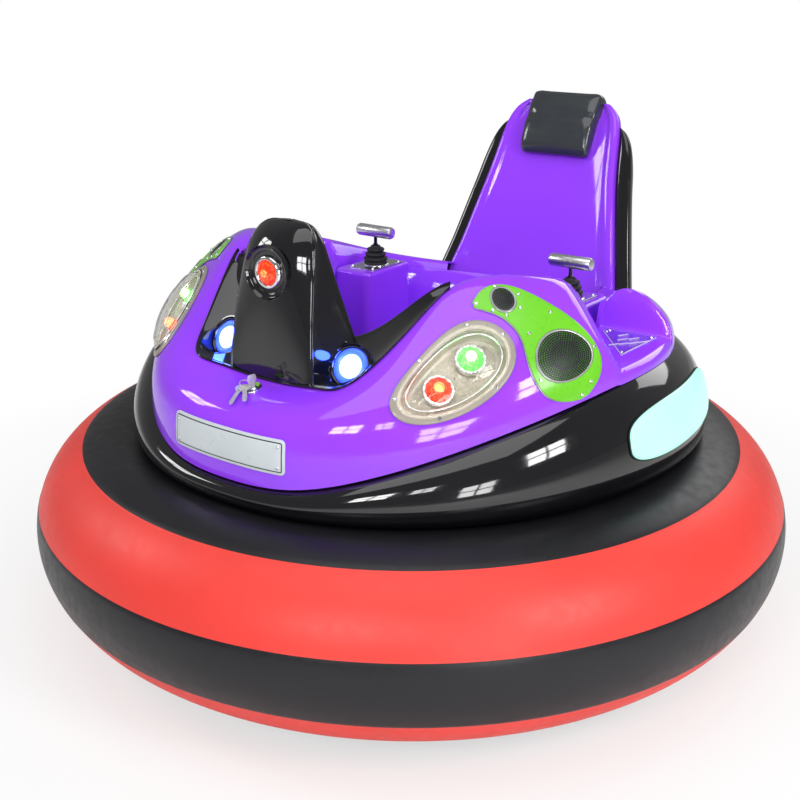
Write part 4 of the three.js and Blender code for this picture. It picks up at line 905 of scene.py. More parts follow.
def seat_cover():
    """Gloss black moulding that wraps the back and the sides of the backrest."""
    rows = []
    for f in 1 - np.linspace(1, 0, 60) ** 1.5:
        w, at = seat_frame(COVER["foot"] + (COVER["top"] + 0.25 - COVER["foot"]) * f)
        swell = math.sqrt(max(1 - max(f - 0.72, 0) ** 2 / 0.28 ** 2, 0))
        side = w + 0.8 + COVER["side"] * swell
        deep = SEAT_SLAB + 1 + (COVER["depth"] - SEAT_SLAB - 1) * swell
        front = COVER["front"]
        lip = min(9.0, 0.4 * (side - w))
        run = [[0, deep], [0.3 * w, deep], [0.55 * w, deep - 2], [0.8 * w, front + (deep - front) * 0.93],
               [side - 18, front + (deep - front) * 0.78], [side - 3, front + (deep - front) * 0.48],
               [side, front + 12], [side - 1, front + 3], [side - lip, front], [side - 1.6 * lip, front],
               [w + 0.8, front + 1.5], [w + 0.8, front + 6], [w + 0.8, SEAT_SLAB + 1]]
        run = along(run, np.linspace(0, len(run) - 1, 44))
        section = np.vstack([run[::-1] * (-1, 1), run[1:]])
        rows.append(at(section[:, 0], section[:, 1]))
    points, faces = grid(rows)
    normals = sheet_normals(points, faces)
    centre = points.mean(0)
    outwards = np.sum(normals * (points - centre)) > 0
    faces = faces if outwards else [f[::-1] for f in faces]
    normals = normals if outwards else -normals
    shape = Shape().add(shell(points, normals, faces, 3.0))
    shape.build("seat_back_shell", [BLACK_GEL], "black_shell", ["seat_back_cover"], sharp=50)


# ---------------------------------------------------------------- headrest pad
PAD_HALF = 107.0
PAD_CAP = 2.4


def pad_outline():
    """Side view of the pad: under the front flap, up over the roll and down behind, as (y, z)."""
    def face(t, depth, dy=0.0, dz=0.0):
        p = seat_frame(t)[1](0, depth)
        return [p[1] + dy, p[2] + dz]

    low = 13.75
    front = [face(low, SEAT_RECESS - 6), face(low, -4), face(low + 0.25, -16), face(low + 0.8, -21),
             face(low + 1.3, -22), face(low + 1.62, -17), face(low + 1.95, -21), face(low + 2.5, -20),
             face(SEAT_LAST, -12, 6, 20)]
    back = [face(SEAT_LAST, 12, 10, 27), face(SEAT_LAST, SEAT_SLAB + 2, 10, 24),
            face(low + 2.6, SEAT_SLAB + 26), face(low + 1.9, SEAT_SLAB + 24),
            face(low + 1.55, SEAT_SLAB + 14), face(low + 1.5, SEAT_SLAB - 2)]
    return np.array(front + back)


def headrest():
    outline = rounded(pad_outline(), 9, 3)
    middle = outline.mean(0)
    half = PAD_HALF - 2.5
    rows = []
    for x, share in [(-half, 0.86), (-half + 3, 0.94), (-half + 9, 0.985), (-half + 18, 1), (half - 18, 1),
                     (half - 9, 0.985), (half - 3, 0.94), (half, 0.86)]:
        flat = middle + (outline - middle) * share
        rows.append(np.c_[np.full(len(flat), x), flat])
    pad = Shape().add(loft(rows)).build("headrest_pad", [VINYL], "black_vinyl", ["headrest"], sharp=80)
    remesh = pad.modifiers.new("remesh", "REMESH")
    remesh.mode, remesh.voxel_size = "VOXEL", 5 * MM
    applied(pad, remesh)
    swell(pad)
    soften = pad.modifiers.new("smooth", "SMOOTH")
    soften.factor, soften.iterations = 0.5, 3
    applied(pad, soften)
    finer = pad.modifiers.new("finer", "SUBSURF")
    finer.levels = finer.render_levels = 1
    applied(pad, finer)
    smoothed(pad.data)


def swell(pad):
    """Inflates the pad like a stuffed cover, no further than its cap."""
    rest = np.array([v.co for v in pad.data.vertices])
    cloth = pad.modifiers.new("cloth", "CLOTH")
    cloth.settings.use_pressure = True
    cloth.settings.uniform_pressure_force = 4.0
    cloth.settings.effector_weights.gravity = 0.0
    scene = bpy.context.scene
    for number in range(1, 21):
        scene.frame_set(number)
    blown = pad.evaluated_get(bpy.context.evaluated_depsgraph_get())
    after = np.array([v.co for v in blown.data.vertices])
    pad.modifiers.remove(cloth)
    step = after - rest
    length = np.linalg.norm(step, axis=1, keepdims=True)
    cap = PAD_CAP * MM
    step *= cap * np.tanh(length / cap) / np.maximum(length, 1e-9)
    pad.data.vertices.foreach_set("co", (rest + step).astype(np.float32).ravel())
    pad.data.update()
    scene.frame_set(1)


# ---------------------------------------------------------------- consoles and joysticks
CONSOLE = {"wide": 118, "long": 190, "tall": 260, "leg_wide": 80, "leg_in": 16}


def joystick_consoles():
    x0, y0 = console_low[:2]
    x1, y1 = x0 + CONSOLE["wide"], y0 + CONSOLE["long"]
    top = console_high[2]
    shoulder = top - CONSOLE["tall"]
    inset = CONSOLE["leg_in"]
    upper = rounded(oblong(x0, y0, x1, y1), 26, 7)
    lower = rounded(oblong(x0 + 1, y0 + inset, x0 + CONSOLE["leg_wide"], y1 - inset), 20, 6)
    shape = Shape()
    shape.add(slab(upper, shoulder, top, 9, 6, both=True))
    shape.add(slab(lower, DECK, shoulder + 3, 1, 2))
    build_pair(shape, "console_gel", [PURPLE], "purple_shell", "joystick_console")


def joysticks():
    x, y = STICK
    low = base_low[2]
    plate = rounded(oblong(x - 42, y - 65, x + 42, y + 65), 7, 4)
    base = Shape().add(slab(plate, low, low + 2.5, 0.8, 3))
    for dx in (-33, 33):
        for dy in (-55, 0, 55):
            base.add(moved(screw(4.4, 2.6), x + dx, y + dy, low + 2.6), 1)
    collar = lathe([(24, 0), (36, 0), (36, 2.2), (34.5, 3.4), (32, 3.6), (24, 3.6)], 40)
    base.add(moved(collar, x, y, low + 2.5), 1)
    build_pair(base, "stick_plate", [STAINLESS, BRIGHT], "zinc_metal", "joystick_base")

    boot = Shape()
    foot, height = low + 5.6, base_high[2] - low - 5.6
    profile = [(0, 0), (30, 0), (31, 2), (30, 4.5), (27.5, 6)]
    for i in range(3):
        z = 6 + i * (height - 11) / 3
        r = 27.5 - i * 4.2
        span = (height - 11) / 3
        bulge = [(r, 0.06), (r + 3.4, 0.26), (r + 4.6, 0.48), (r + 3.2, 0.72), (r - 2.6, 0.94)]
        profile += [(radius, z + span * share) for radius, share in bulge]
    profile += [(13, height - 4.4), (12.5, height - 1), (11, height), (0, height)]
    boot.add(moved(lathe(rounded(profile, 1.4, 2, closed=False), 40), x, y, foot))
    build_pair(boot, "stick_boot", [RUBBER], "tyre_rubber")

    grip = Shape()
    z = grip_high[2] - 16
    stem_low = base_high[2]
    tall = z - stem_low
    stem = [(0, 0), (6.5, 0), (6.5, 4), (4.5, 6), (4.5, tall - 14), (7, tall - 13), (7, tall), (0, tall)]
    grip.add(moved(lathe(stem, 20), x, y, stem_low), 0)
    half, r = (grip_high[0] - grip_low[0]) / 2, 15.8
    joint = 8.0
    run = [(0, -half), (r - 7, -half), (r - 2.2, -half + 1.8), (r, -half + 6.5)]
    run += [(r, -joint - 1), (r - 1.1, -joint - 0.4), (r - 1.1, -joint + 0.4), (r, -joint + 1)]
    run += [(r, joint - 1), (r - 1.1, joint - 0.4), (r - 1.1, joint + 0.4), (r, joint + 1)]
    run += [(r, half - 6.5), (r - 2.2, half - 1.8), (r - 7, half), (0, half)]
    grip.add(aim(lathe(run, 40), (x, y, z), (1, 0, 0)), 1)
    build_pair(grip, "stick_grip", [BLACK_GEL, CHROME], "chrome_metal", "joystick_grip", sharp=30)


# ---------------------------------------------------------------- front fascia
HUMP = [
    [214, 113, 178, 198, 194, 313], [240, 112, 172, 197, 198, 310], [286, 110, 164, 196, 202, 308],
    [346, 105, 143, 196, 210, 304], [406, 100, 121, 198, 222, 300], [456, 95, 103, 202, 232, 297],
    [496, 88, 91, 214, 243, 294], [526, 76, 77, 236, 258, 292], [541, 56, 57, 262, 270, 290],
    [545, 30, 30, 272, 275, 286], [546, 4, 4, 280, 280, 281],
]


def tray_surface(station, share, height):
    """Point of the tray: station round from the front, share from its outer edge to its rim."""
    station = np.abs(station)
    degrees, inwards = np.moveaxis(along(FASCIA_EDGE, station), -1, 0)
    rim_degrees, rim_in, rim_up = np.moveaxis(along(FASCIA_RIM, station), -1, 0)
    t = body.t_where(degrees, inwards)
    edge = body.point(degrees, t) + body.normal(degrees, t) * 2.0
    rim = polar(RING_R - rim_in, rim_degrees, RING_TOP + rim_up)
    inner = np.clip(share, 0, 1)
    sag = -14 * np.sin(np.pi * inner) ** 0.8 + 12 * inner * (1 - inner)
    point = edge + (rim - edge) * share[..., None]
    point[..., 2] += sag + height
    return point


def fascia_tray():
    stations = np.linspace(0, len(FASCIA_EDGE) - 1.25, 72)
    stations = np.r_[-stations[:0:-1], stations]
    run = [(-0.004, 0.2), (-0.008, 2.4), (0.0, 4.2), (0.014, 4.6), (0.03, 3.8)]
    run += [(f, 3.6) for f in np.linspace(0.06, 0.94, 30)]
    run += [(0.97, 4.6), (0.99, 4.6), (1.0, 3.4), (1.0, 1.0), (0.99, 0.2)]
    run += [(f, 0.0) for f in np.linspace(0.94, 0.04, 16)]
    share, height = np.array(run).T
    rows = []
    for s in stations:
        row = tray_surface(np.full(len(share), s), share, height)
        row[:, 0] *= -1 if s < 0 else 1
        if abs(s) < 1e-9:
            row[:, 0] = 0
        rows.append(row)
    return loft(rows)


def hump_sides():
    """Height and half plan of the hump, level by level."""
    for up, wf, wb, middle, edge, back in along(HUMP, np.linspace(0, len(HUMP) - 1, 90)):
        y = [RING_R - v for v in (middle, edge, back)]
        ridge = (wf, -(y[1] - 6))
        side = [(0, -y[0]), (0.3 * wf, -(y[0] * 0.93 + y[1] * 0.07)), (0.6 * wf, -(y[0] * 0.7 + y[1] * 0.3)),
                (0.86 * wf, -(y[0] * 0.25 + y[1] * 0.75)), (wf * 0.975, -(y[1] - 1)), ridge, ridge,
                ((wf + wb) / 2 - 5, -(y[1] + y[2]) / 2), (wb - 3, -(y[2] + 14)), (wb - 5, -(y[2] + 3)),
                (wb - 12, -y[2]), (wb * 0.5, -y[2]), (0, -y[2])]
        yield RING_TOP + up, side


def hump_solid():
    rows = []
    for z, side in hump_sides():
        side = along(side, np.linspace(0, len(side) - 1, 61))
        whole = np.vstack([side, side[1:-1][::-1] * (-1, 1)])
        rows.append(np.c_[whole, np.full(len(whole), z)])
    return loft(rows)


def hump_beads():
    """Raised bead along each front edge of the hump."""
    line = np.array([[*along(side, 5.5), z] for z, side in hump_sides()])[:-9]
    outwards = np.array([0.62, -0.78, 0.0])
    rows = []
    for i, point in enumerate(line):
        ahead = line[min(i + 1, len(line) - 1)] - line[max(i - 1, 0)]
        ahead /= np.linalg.norm(ahead)
        u = outwards - ahead * (outwards @ ahead)
        u /= np.linalg.norm(u)
        v = np.cross(ahead, u)
        radius = 3.0 * math.sin(math.pi * min(1, (len(line) - 1 - i) / 14 + 0.02) / 2)
        turn = turns(14)[:, None]
        rows.append(point - u * 0.9 + radius * (u * np.cos(turn) + v * np.sin(turn)))
    shape = Shape().add(grid(rows, across=True))
    build_pair(shape, "hump_bead", [BLACK_GEL], "black_shell")


def cut_from(piece, made):
    """Takes a closed solid out of a piece."""
    mesh = bpy.data.meshes.new("cutter")
    mesh.from_pydata((np.asarray(made[0]) * MM).tolist(), [], [list(f) for f in made[1]])
    cleaned(mesh, 1e-6)
    cutter = into_scene("cutter", mesh)
    boolean = piece.modifiers.new("cut", "BOOLEAN")
    boolean.operation, boolean.solver, boolean.object = "DIFFERENCE", "EXACT", cutter
    applied(piece, boolean)
    bpy.data.objects.remove(cutter)
    bpy.data.meshes.remove(mesh)


NOSE_RECESS = 56                                      # radius
NOSE_FLOOR = (0, 211 - RING_R, RING_TOP + 449)        # middle of the recess's floor
FORWARD = (0, -1, 0)


def front_fascia():
    tray = Shape().add(fascia_tray())
    tray = tray.build("fascia_tray", [BLACK_GEL], "black_shell", ["front_fascia"], sharp=50)
    for side in (1, -1):
        middle, axis = LAMP * (side, 1, 1), LAMP_AXIS * (side, 1, 1)
        hole = lathe([(0, -60), (LAMP_R + 1.4, -60), (LAMP_R + 1.4, 70), (0, 70)], 64)
        cut_from(tray, aim(hole, middle, axis))
    hump = Shape().add(hump_solid()).build("fascia_hump", [BLACK_GEL], "black_shell", sharp=40)
    recess = lathe([(0, 0), (NOSE_RECESS, 0), (NOSE_RECESS, 80), (0, 80)], 72)
    cut_from(hump, aim(recess, NOSE_FLOOR, FORWARD))
    for piece in (tray, hump):
        smoothed(piece.data, 38)


def nose_recess():
    """Stepped rings that line the recess round the nose lamp."""
    r = NOSE_RECESS
    rings = [(34, -1), (34, 2), (43, 2.4), (45, 5), (r - 5, 6), (r - 2, 10), (r + 0.6, 13.4), (r + 0.6, -1)]
    shape = Shape().add(aim(lathe(rounded(rings, 1.6, 3, closed=False), 72), NOSE_FLOOR, FORWARD))
    shape.build("nose_recess", [BLACK_GEL], "black_shell", sharp=30)


def nose_lamp():
    bezel = [(24, 0), (35, 0), (35, 5), (32, 9), (27.5, 10), (25, 7.5), (24, 4)]
    shape = Shape().add(aim(lathe(rounded(bezel, 1.2, 3, closed=False), 56), NOSE_FLOOR, FORWARD), 0)
    rows = []
    for ring, (r, h) in enumerate([(26, 5), (24, 9), (19.5, 13), (14, 15.6), (8, 17.2), (3, 17.8)]):
        turn = turns(24) + (ring % 2) * np.pi / 24
        wave = h + np.where(np.arange(24) % 2 == ring % 2, 0.9, -0.9)
        rows.append(np.c_[r * np.cos(turn), r * np.sin(turn), wave])
    shape.add(aim(loft(rows, foot=False), NOSE_FLOOR, FORWARD), 1)
    core = lathe([(0, 18.9), (4, 18.6), (8.4, 18.0), (9.4, 16.6), (9.4, 12), (0, 12)], 10)
    shape.add(aim(core, NOSE_FLOOR, FORWARD), 2)
    shape.build("nose_lamp_unit", [BRIGHT, RED_LENS, RED_CORE], "red_lamp", ["nose_lamp"], sharp=12)


def tray_level():
    """How far out along the headlamp's axis the tray lies, round its socket."""
    station, share = np.meshgrid(np.linspace(0, 8, 400), np.linspace(0, 1, 160), indexing="ij")
    points = tray_surface(station.ravel(), share.ravel(), np.full(station.size, 3.6))
    local = points - LAMP
    axial = local @ LAMP_AXIS
    flat = local - axial[:, None] * LAMP_AXIS
    side = np.cross(LAMP_AXIS, (0, 0, 1.0))
    side /= np.linalg.norm(side)
    other = np.cross(LAMP_AXIS, side)
    near = (np.abs(np.linalg.norm(flat, axis=1) - LAMP_R - 1) < 4) & (axial > -60) & (axial < 75)
    angle = np.arctan2(flat[near] @ other, flat[near] @ side)
    around = np.linspace(-np.pi, np.pi, 64, endpoint=False)
    levels = np.full(64, np.nan)
    for i, turn in enumerate(around):
        gap = np.abs((angle - turn + np.pi) % (2 * np.pi) - np.pi)
        picked = axial[near][gap < 0.1]
        if len(picked):
            levels[i] = picked.mean()
    known = ~np.isnan(levels)
    levels = np.interp(around, around[known], levels[known], period=2 * np.pi)
    return around, np.clip(levels, 4, 60), side, other


def headlamps():
    around, levels, side, other = tray_level()
    rim = np.array([(LAMP_R - 1.2, -22, 0), (LAMP_R - 1.2, 0, 0), (LAMP_R - 0.8, 0, 1),
                    (LAMP_R + 0.6, 1.4, 1), (LAMP_R + 3.2, 1.2, 1), (LAMP_R + 3.8, -1.5, 1),
                    (LAMP_R + 1.2, -6, 1), (LAMP_R + 1.2, -22, 0)])
    rows = []
    for turn, lift in zip(around, levels):
        direction = side * math.cos(turn) + other * math.sin(turn)
        heights = np.where(rim[:, 2] > 0, lift + rim[:, 1], np.minimum(rim[:, 1], lift - 8))
        rows.append(LAMP + direction * rim[:, :1] + LAMP_AXIS * heights[:, None])
    socket = Shape().add(grid(rows, around=True, across=True))
    build_pair(socket, "headlamp_socket", [BLACK_GEL], "blue_lamp", sharp=35)
    lamp = Shape()
    lamp.add(aim(lathe([(0, -22), (36, -22), (43.4, -10), (43.6, 3), (42, 4.4), (39.6, 3.2), (38, 0)], 56),
                 LAMP, LAMP_AXIS), 0)
    lamp.add(aim(lathe([(38.2, 0.2), (35, 3.4), (31, 4.0), (27, 2.6), (25, 0.8)], 56), LAMP, LAMP_AXIS), 1)
    lamp.add(aim(lathe([(25.2, 0.4), (22, 5.4), (15, 8.2), (8, 9.4), (0, 9.8)], 56), LAMP, LAMP_AXIS), 2)
    build_pair(lamp, "headlamp_unit", [BLACK_GEL, BLUE_RING, BLUE_CORE], "blue_lamp", "headlamp", sharp=40)


# ---------------------------------------------------------------- side lights
def oval_rows(place, a, b, section, count=96):
    turn = turns(count)[:, None]
    inset, height = np.array(section, float).T
    u, v = (a - inset) * np.cos(turn), (b - inset) * np.sin(turn)
    return place(u, v, height + 0 * turn)


def disc_rows(place, a, b, shares, heights, count=96):
    turn = turns(count)[:, None]
    shares, heights = np.array(shares, float), np.array(heights, float)
    return place(a * shares * np.cos(turn), b * shares * np.sin(turn), heights + 0 * turn)


def side_lights():
    a, b = SIDE_LIGHT["a"], SIDE_LIGHT["b"]
    shape = Shape()
    bezel = rounded([(0, 0.8), (0, 4.6), (3, 6.0), (17, 6.4), (20, 5.0), (21, 0), (24, -16), (30, -27),
                     (38, -29)], 1.8, 3, closed=False)
    shape.add(grid(oval_rows(light_place, a, b, bezel), around=True), 0)
    shape.add(grid(disc_rows(light_place, a - 37.5, b - 37.5, [0.02, 0.3, 0.6, 0.85, 1.0],
                             [-30, -30, -30, -29.6, -28.8]), around=True), 1)
    build_pair(shape, "side_light_bowl", [BEZEL, BOWL], "lamp_housing", "side_light_housing", sharp=60)

    hardware = Shape()
    for angle in (12, 62, 118, 168, 242, 298):
        u, v = (a - 9.5) * math.cos(math.radians(angle)), (b - 9.5) * math.sin(math.radians(angle))
        hardware.add(aim(screw(4.4, 2.6), light_place(u, v, 6.2), light_place.axis(u, v)))
    build_pair(hardware, "side_light_screws", [BRIGHT], "lamp_housing", sharp=30)

    dome = Shape()
    outer = [(12.5, 6.4), (12.5, 8.0), (16, 9.4), (21, 9.4), (24, 12.5), (34, 20), (50, 26.5), (70, 30),
             (b - 2, 31)]
    inner = [(b - 2, 29), (70, 28), (50, 24.4), (34, 18), (25.6, 11.4), (22.4, 7.2), (16, 6.4)]
    ring = np.vstack([rounded(outer, 3, 3, closed=False), rounded(inner, 2, 3, closed=False)])
    shares = 1 - ring[:, 0] / b
    turn = turns(96)[:, None]
    u = np.where(shares > 0.6, a - ring[:, 0], a * shares) * np.cos(turn)
    rows = light_place(u, (b * shares) * np.sin(turn), ring[:, 1] + 0 * turn)
    dome.add(grid(rows, around=True, across=True))
    build_pair(dome, "side_light_dome", [CLEAR], "clear_lens", "side_light_lens", sharp=50)

    trim = Shape()
    bead = [(26, 2.0), (28.5, 4.4), (31, 2.4), (29, 0.2)]
    trim.add(grid(oval_rows(light_place, a, b, rounded(bead, 1.2, 3)), around=True, across=True))
    build_pair(trim, "side_light_ring", [BRIGHT], "lamp_housing", sharp=50)

    for name, colors in (("red", (RED_LENS, RED_CORE)), ("green", (GREEN_LENS, GREEN_CORE))):
        u, v = SIDE_LAMPS[name]
        lamp = Shape()
        origin, axis = light_place(u, v, -27.0), light_place.axis(u, v)
        rows = []
        for i, (r, h) in enumerate([(15, 2), (18, 4), (23, 8), (28, 14), (30.5, 15), (31.5, 13), (31, 2)]):
            turn = turns(96)
            petal = 1 - 0.07 * np.abs(np.sin(6 * turn)) * (1 if 0 < i < 4 else 0)
            lift = h + (2.2 * np.abs(np.cos(6 * turn)) if 0 < i < 4 else 0)
            rows.append(np.c_[r * petal * np.cos(turn), r * petal * np.sin(turn), lift + 0 * turn])
        lamp.add(aim(grid(rows, across=True), origin, axis), 0)
        lens = []
        for i, (r, h) in enumerate([(17.5, 0), (17.5, 13), (16, 18), (12, 22.4), (7, 25), (2, 26)]):
            turn = turns(28)
            lens.append(np.c_[(r + 0.5 * (-1) ** np.arange(28)) * np.cos(turn), r * np.sin(turn),
                              h + 0.5 * (-1) ** (np.arange(28) + i)])
        lamp.add(aim(loft(lens, foot=False), origin, axis), 1)
        lamp.add(aim(lathe([(0, 27.6), (4, 27.0), (8, 25.4), (9, 22), (0, 20)], 8), origin, axis), 2)
        build_pair(lamp, f"{name}_lamp", [BRIGHT, *colors], "lamp_housing", sharp=20)


# ---------------------------------------------------------------- speaker panels
SPEAKER = (66, 3)
SPEAKER_BAND = [
    [-128, 93, 5], [-104, 95, 22], [-72, 95, 36], [-38, 80, 42], [-6, 44, 50], [16, -4, 66],
    [24, -56, 76], [30, -110, 72], [40, -150, 54], [48, -176, 28], [52, -188, 8],
]
GRILLES = (((-56, 88), 27, 5), ((24, -62), 58, 11))
speaker_place = body.place(*SPEAKER, shaped=with_well)


def band_line():
    """Middle line and half width of the speaker panel as (u, v, w), and the line's normals."""
    stations = along(SPEAKER_BAND, np.linspace(0, len(SPEAKER_BAND) - 1, 90))
    du, dv = np.gradient(stations[:, 0]), np.gradient(stations[:, 1])
    length = np.hypot(du, dv)
    return stations, np.c_[-dv / length, du / length]


def band_panel(place, grow, low, high, edge):
    stations, normal = band_line()
    shares = np.r_[-1, np.linspace(-0.985, 0.985, 25), 1]
    rows = []
    length = np.linalg.norm(stations[-1, :2] - stations[-2, :2])
    for i, (u, v, w) in enumerate(stations):
        w = w + grow
        end = min(i, len(stations) - 1 - i)
        across = shares * w
        inside = np.minimum(w - np.abs(across), (end + 0.01) * length)
        top = high - edge * (1 - np.clip(inside / edge, 0, 1)) ** 2
        upper = place(u + normal[i, 0] * across, v + normal[i, 1] * across, top)
        lower = place(u + normal[i, 0] * across, v + normal[i, 1] * across, np.full(len(across), low))
        rows.append(np.vstack([upper, lower[::-1]]))
    return loft(rows)


def perforated(radius, rings):
    """Flat disc with rings of round holes, as points and triangles in the plane."""
    pitch = (radius - 3) / (rings + 0.4)
    hole = 0.33 * pitch
    points, edges, centres = [], [], [(0.0, 0.0)]
    for ring in range(1, rings + 1):
        count = 6 * ring
        angles = [2 * math.pi * k / count for k in range(count)]
        centres += [(ring * pitch * math.cos(a), ring * pitch * math.sin(a)) for a in angles]
    for x, y in centres:
        start = len(points)
        points += [Vector((x + hole * math.cos(a), y + hole * math.sin(a))) for a in turns(8)]
        edges += [(start + i, start + (i + 1) % 8) for i in range(8)]
    start = len(points)
    points += [Vector((radius * math.cos(a), radius * math.sin(a))) for a in turns(72)]
    edges += [(start + i, start + (i + 1) % 72) for i in range(72)]
    made = delaunay_2d_cdt(points, edges, [], 0, 1e-4)
    flat = np.array([tuple(p) for p in made[0]])
    faces = np.array([list(f) for f in made[2]])
    middle = flat[faces].mean(1)
    gaps = np.linalg.norm(middle[:, None] - np.array(centres)[None], axis=2).min(1)
    return flat, faces[gaps > hole * 0.8]


def speaker_panels():
    low = 1.2
    shape = Shape().add(band_panel(speaker_place, 2.6, low, low + 1.8, 0.8), 1)
    shape.add(band_panel(speaker_place, 0.0, low + 1.0, low + 3.2, 1.2), 0)
    build_pair(shape, "speaker_plate", [GREEN, SILVER_RIM], "green_panel", "speaker_panel", sharp=40)
    for name, (middle, radius, rings) in zip(("small", "large"), GRILLES):
        u, v = middle
        grille = Shape()
        flat, faces = perforated(radius, rings)
        dome = 5.2 + 2.2 * (1 - (np.linalg.norm(flat, axis=1) / radius) ** 2)
        points = speaker_place(u + flat[:, 0], v + flat[:, 1], dome)
        normals = np.broadcast_to(speaker_place.axis(u, v), points.shape)
        grille.add(shell(points, normals, faces.tolist(), 0.9), 0)
        turn = turns(72)[:, None]
        back = np.array([0.01, 0.5, 1.0])
        grille.add(grid(speaker_place(u + radius * back * np.cos(turn), v + radius * back * np.sin(turn),
                                      np.full((72, 3), 4.45)), around=True), 1)
        rim = rounded([(radius - 1.5, 4.4), (radius - 1.5, 6.4), (radius + 1.5, 7.0), (radius + 3.6, 6.0),
                       (radius + 3.8, 4.2)], 0.8, 2, closed=False)
        r, h = np.array(rim).T
        rows = speaker_place(u + r * np.cos(turn), v + r * np.sin(turn), h + 0 * turn)
        grille.add(grid(rows, around=True), 2)
        build_pair(grille, f"{name}_grille", [GRILLE, DEEP, SILVER_RIM], "green_panel", sharp=40)
    hardware = Shape()
    spots = [(-121, 93), (-62, 122), (-88, 70), (-16, 92), (-26, 62), (-62, 53), (34, 40), (-30, 6),
             (92, -60), (-36, -96), (66, -146), (44, -176)]
    for u, v in spots:
        hardware.add(aim(screw(4.2, 2.6), speaker_place(u, v, 4.4), speaker_place.axis(u, v)))
    build_pair(hardware, "speaker_screws", [BRIGHT], "green_panel", sharp=30)


# ---------------------------------------------------------------- plate, key, steps, glow panels
def dense(outline, spacing):
    """Closed outline with points at most a spacing apart."""
    outline = np.asarray(outline, float)
    out = []
    for a, b in zip(outline, np.roll(outline, -1, 0)):
        count = max(int(math.ceil(np.linalg.norm(b - a) / spacing)), 1)
        out += [a + (b - a) * i / count for i in range(count)]
    return np.array(out)


def level(place, outline, height):
    """The outline laid on a panel at one height."""
    return place(outline[:, 0], outline[:, 1], np.full(len(outline), float(height)))


def panel_slab(place, outline, low, high, edge):
    """Slab that follows the panel: rings of the outline shrink to its middle."""
    outline = dense(outline, 6.0)
    middle = outline.mean(0)
    run = [(0, low), (0, high - edge), (0.3 * edge, high - 0.3 * edge), (edge, high)]
    rings = [(offset(outline, -inset), h) for inset, h in run]
    inner = offset(outline, -edge)
    rings += [(middle + (inner - middle) * share, high) for share in (0.9, 0.7, 0.45, 0.2, 0.01)]
    return grid([level(place, flat, h) for flat, h in rings], across=True)


def upright_place(up):
    """Function from (u along, v up, height) to a point of the body's front, v measured straight up it."""
    radius = float(body.flat(0.0, body.t_where(0.0, up, 1))[0])

    def on_face(u, v):
        degrees = np.degrees(np.asarray(u, float) / radius)
        t = body.t_where(degrees, up + 0.98 * np.asarray(v, float), 1)
        return body.point(degrees, t), body.normal(degrees, t)

    def at(u, v, height):
        point, normal = on_face(u, v)
        return point + normal * np.asarray(height, float)[..., None]

    at.axis = lambda u, v: on_face(u, v)[1]
    return at


def number_plate():
    place = upright_place(124.0)
    half, high = 152, 37
    frame_line = rounded(oblong(-half, -high, half, high), 12, 6)
    shape = Shape().add(panel_slab(place, frame_line, 1.0, 4.0, 1.2), 0)
    for inset, tall, index in ((6.0, 4.5, 1), (8.2, 4.9, 0)):
        shape.add(panel_slab(place, offset(frame_line, -inset), 3.4, tall, 0.3), index)
    for u in (-136, 136):
        for v in (-22, 22):
            shape.add(aim(screw(3.8, 2.2), place(u, v, 4.7), place.axis(u, v)), 2)
    shape.build("blank_plate", [PLATE, PLATE_INK, BRIGHT], "pale_plate", ["number_plate"], sharp=40)


KEY_THICK = 2.2


def key_and_lock():
    t = float(body.t_where(0.0, 150.0))
    place = body.place(0.0, t)
    axis = place.axis(0, 0)
    shape = Shape()
    oval = np.array([(22 * math.cos(a), 14 * math.sin(a)) for a in turns(40)])
    shape.add(aim(slab(oval, 0.8, 3.4, 1.0, 3), place(0, 0, 0), axis, math.pi / 2), 0)
    shape.add(aim(lathe([(0, 7), (7.6, 7), (9, 6), (9.4, 3), (9.4, 0), (0, 0)], 32), place(0, 0, 0), axis), 0)
    outline = oblong(-1.5, -4.6, 1.5, 4.6)
    shape.add(aim(slab(outline, 5, 17, 0.3, 1), place(0, 0, 0), axis), 1)
    bow = [(0, 12.5), (10, 9), (13, 0), (10, -9), (-10, -9), (-13, 0), (-10, 9)]
    bow = slab(rounded(bow, 5, 4), -1.2, 1.2, 0.5, 2, both=True)
    shape.add(aim(bow, place(0, 0, 0) + axis * 25, (1, 0, 0)), 1)
    ring = [(13 + 1.1 * math.cos(a), 1.1 * math.sin(a)) for a in turns(8)]
    ring_rows = lathe(ring + ring[:1], 40)
    loop_middle = place(-13, -6, 13)
    shape.add(aim(ring_rows, loop_middle, axis * 0.55 + np.array([0.4, 0, 0.6])), 1)
    blade = [(0, 0), (9, 2), (10, 10), (6, 16), (3.4, 18), (3.4, 34), (4.6, 36), (3.0, 38), (4.4, 41),
             (2.8, 43), (3.4, 46), (0, 49), (-3, 46), (-3, 18), (-6, 16), (-10, 10), (-9, 2)]
    for spin, lift, shift in ((0.30, 7.0, -19), (0.72, 9.4, -15)):
        flat = rounded(np.array(blade, float) * 1.3, 1.0, 2)
        flat = np.c_[flat[:, 0] * math.cos(spin) + flat[:, 1] * math.sin(spin),
                     flat[:, 0] * math.sin(spin) - flat[:, 1] * math.cos(spin)]
        outline = flat + (shift, -6)
        shape.add(loft([level(place, outline, h) for h in (lift, lift + KEY_THICK)]), 1)
    tag = rounded([(-6, -12), (6, -12), (6, 10), (0, 14), (-6, 10)], 3, 3) + (-6, 12)
    shape.add(loft([level(place, tag, h) for h in (4.0, 4.0 + KEY_THICK)]), 2)
    shape.build("key_set", [BRIGHT, KEY_STEEL, TAG], "chrome_metal", ["key_switch"], sharp=35)


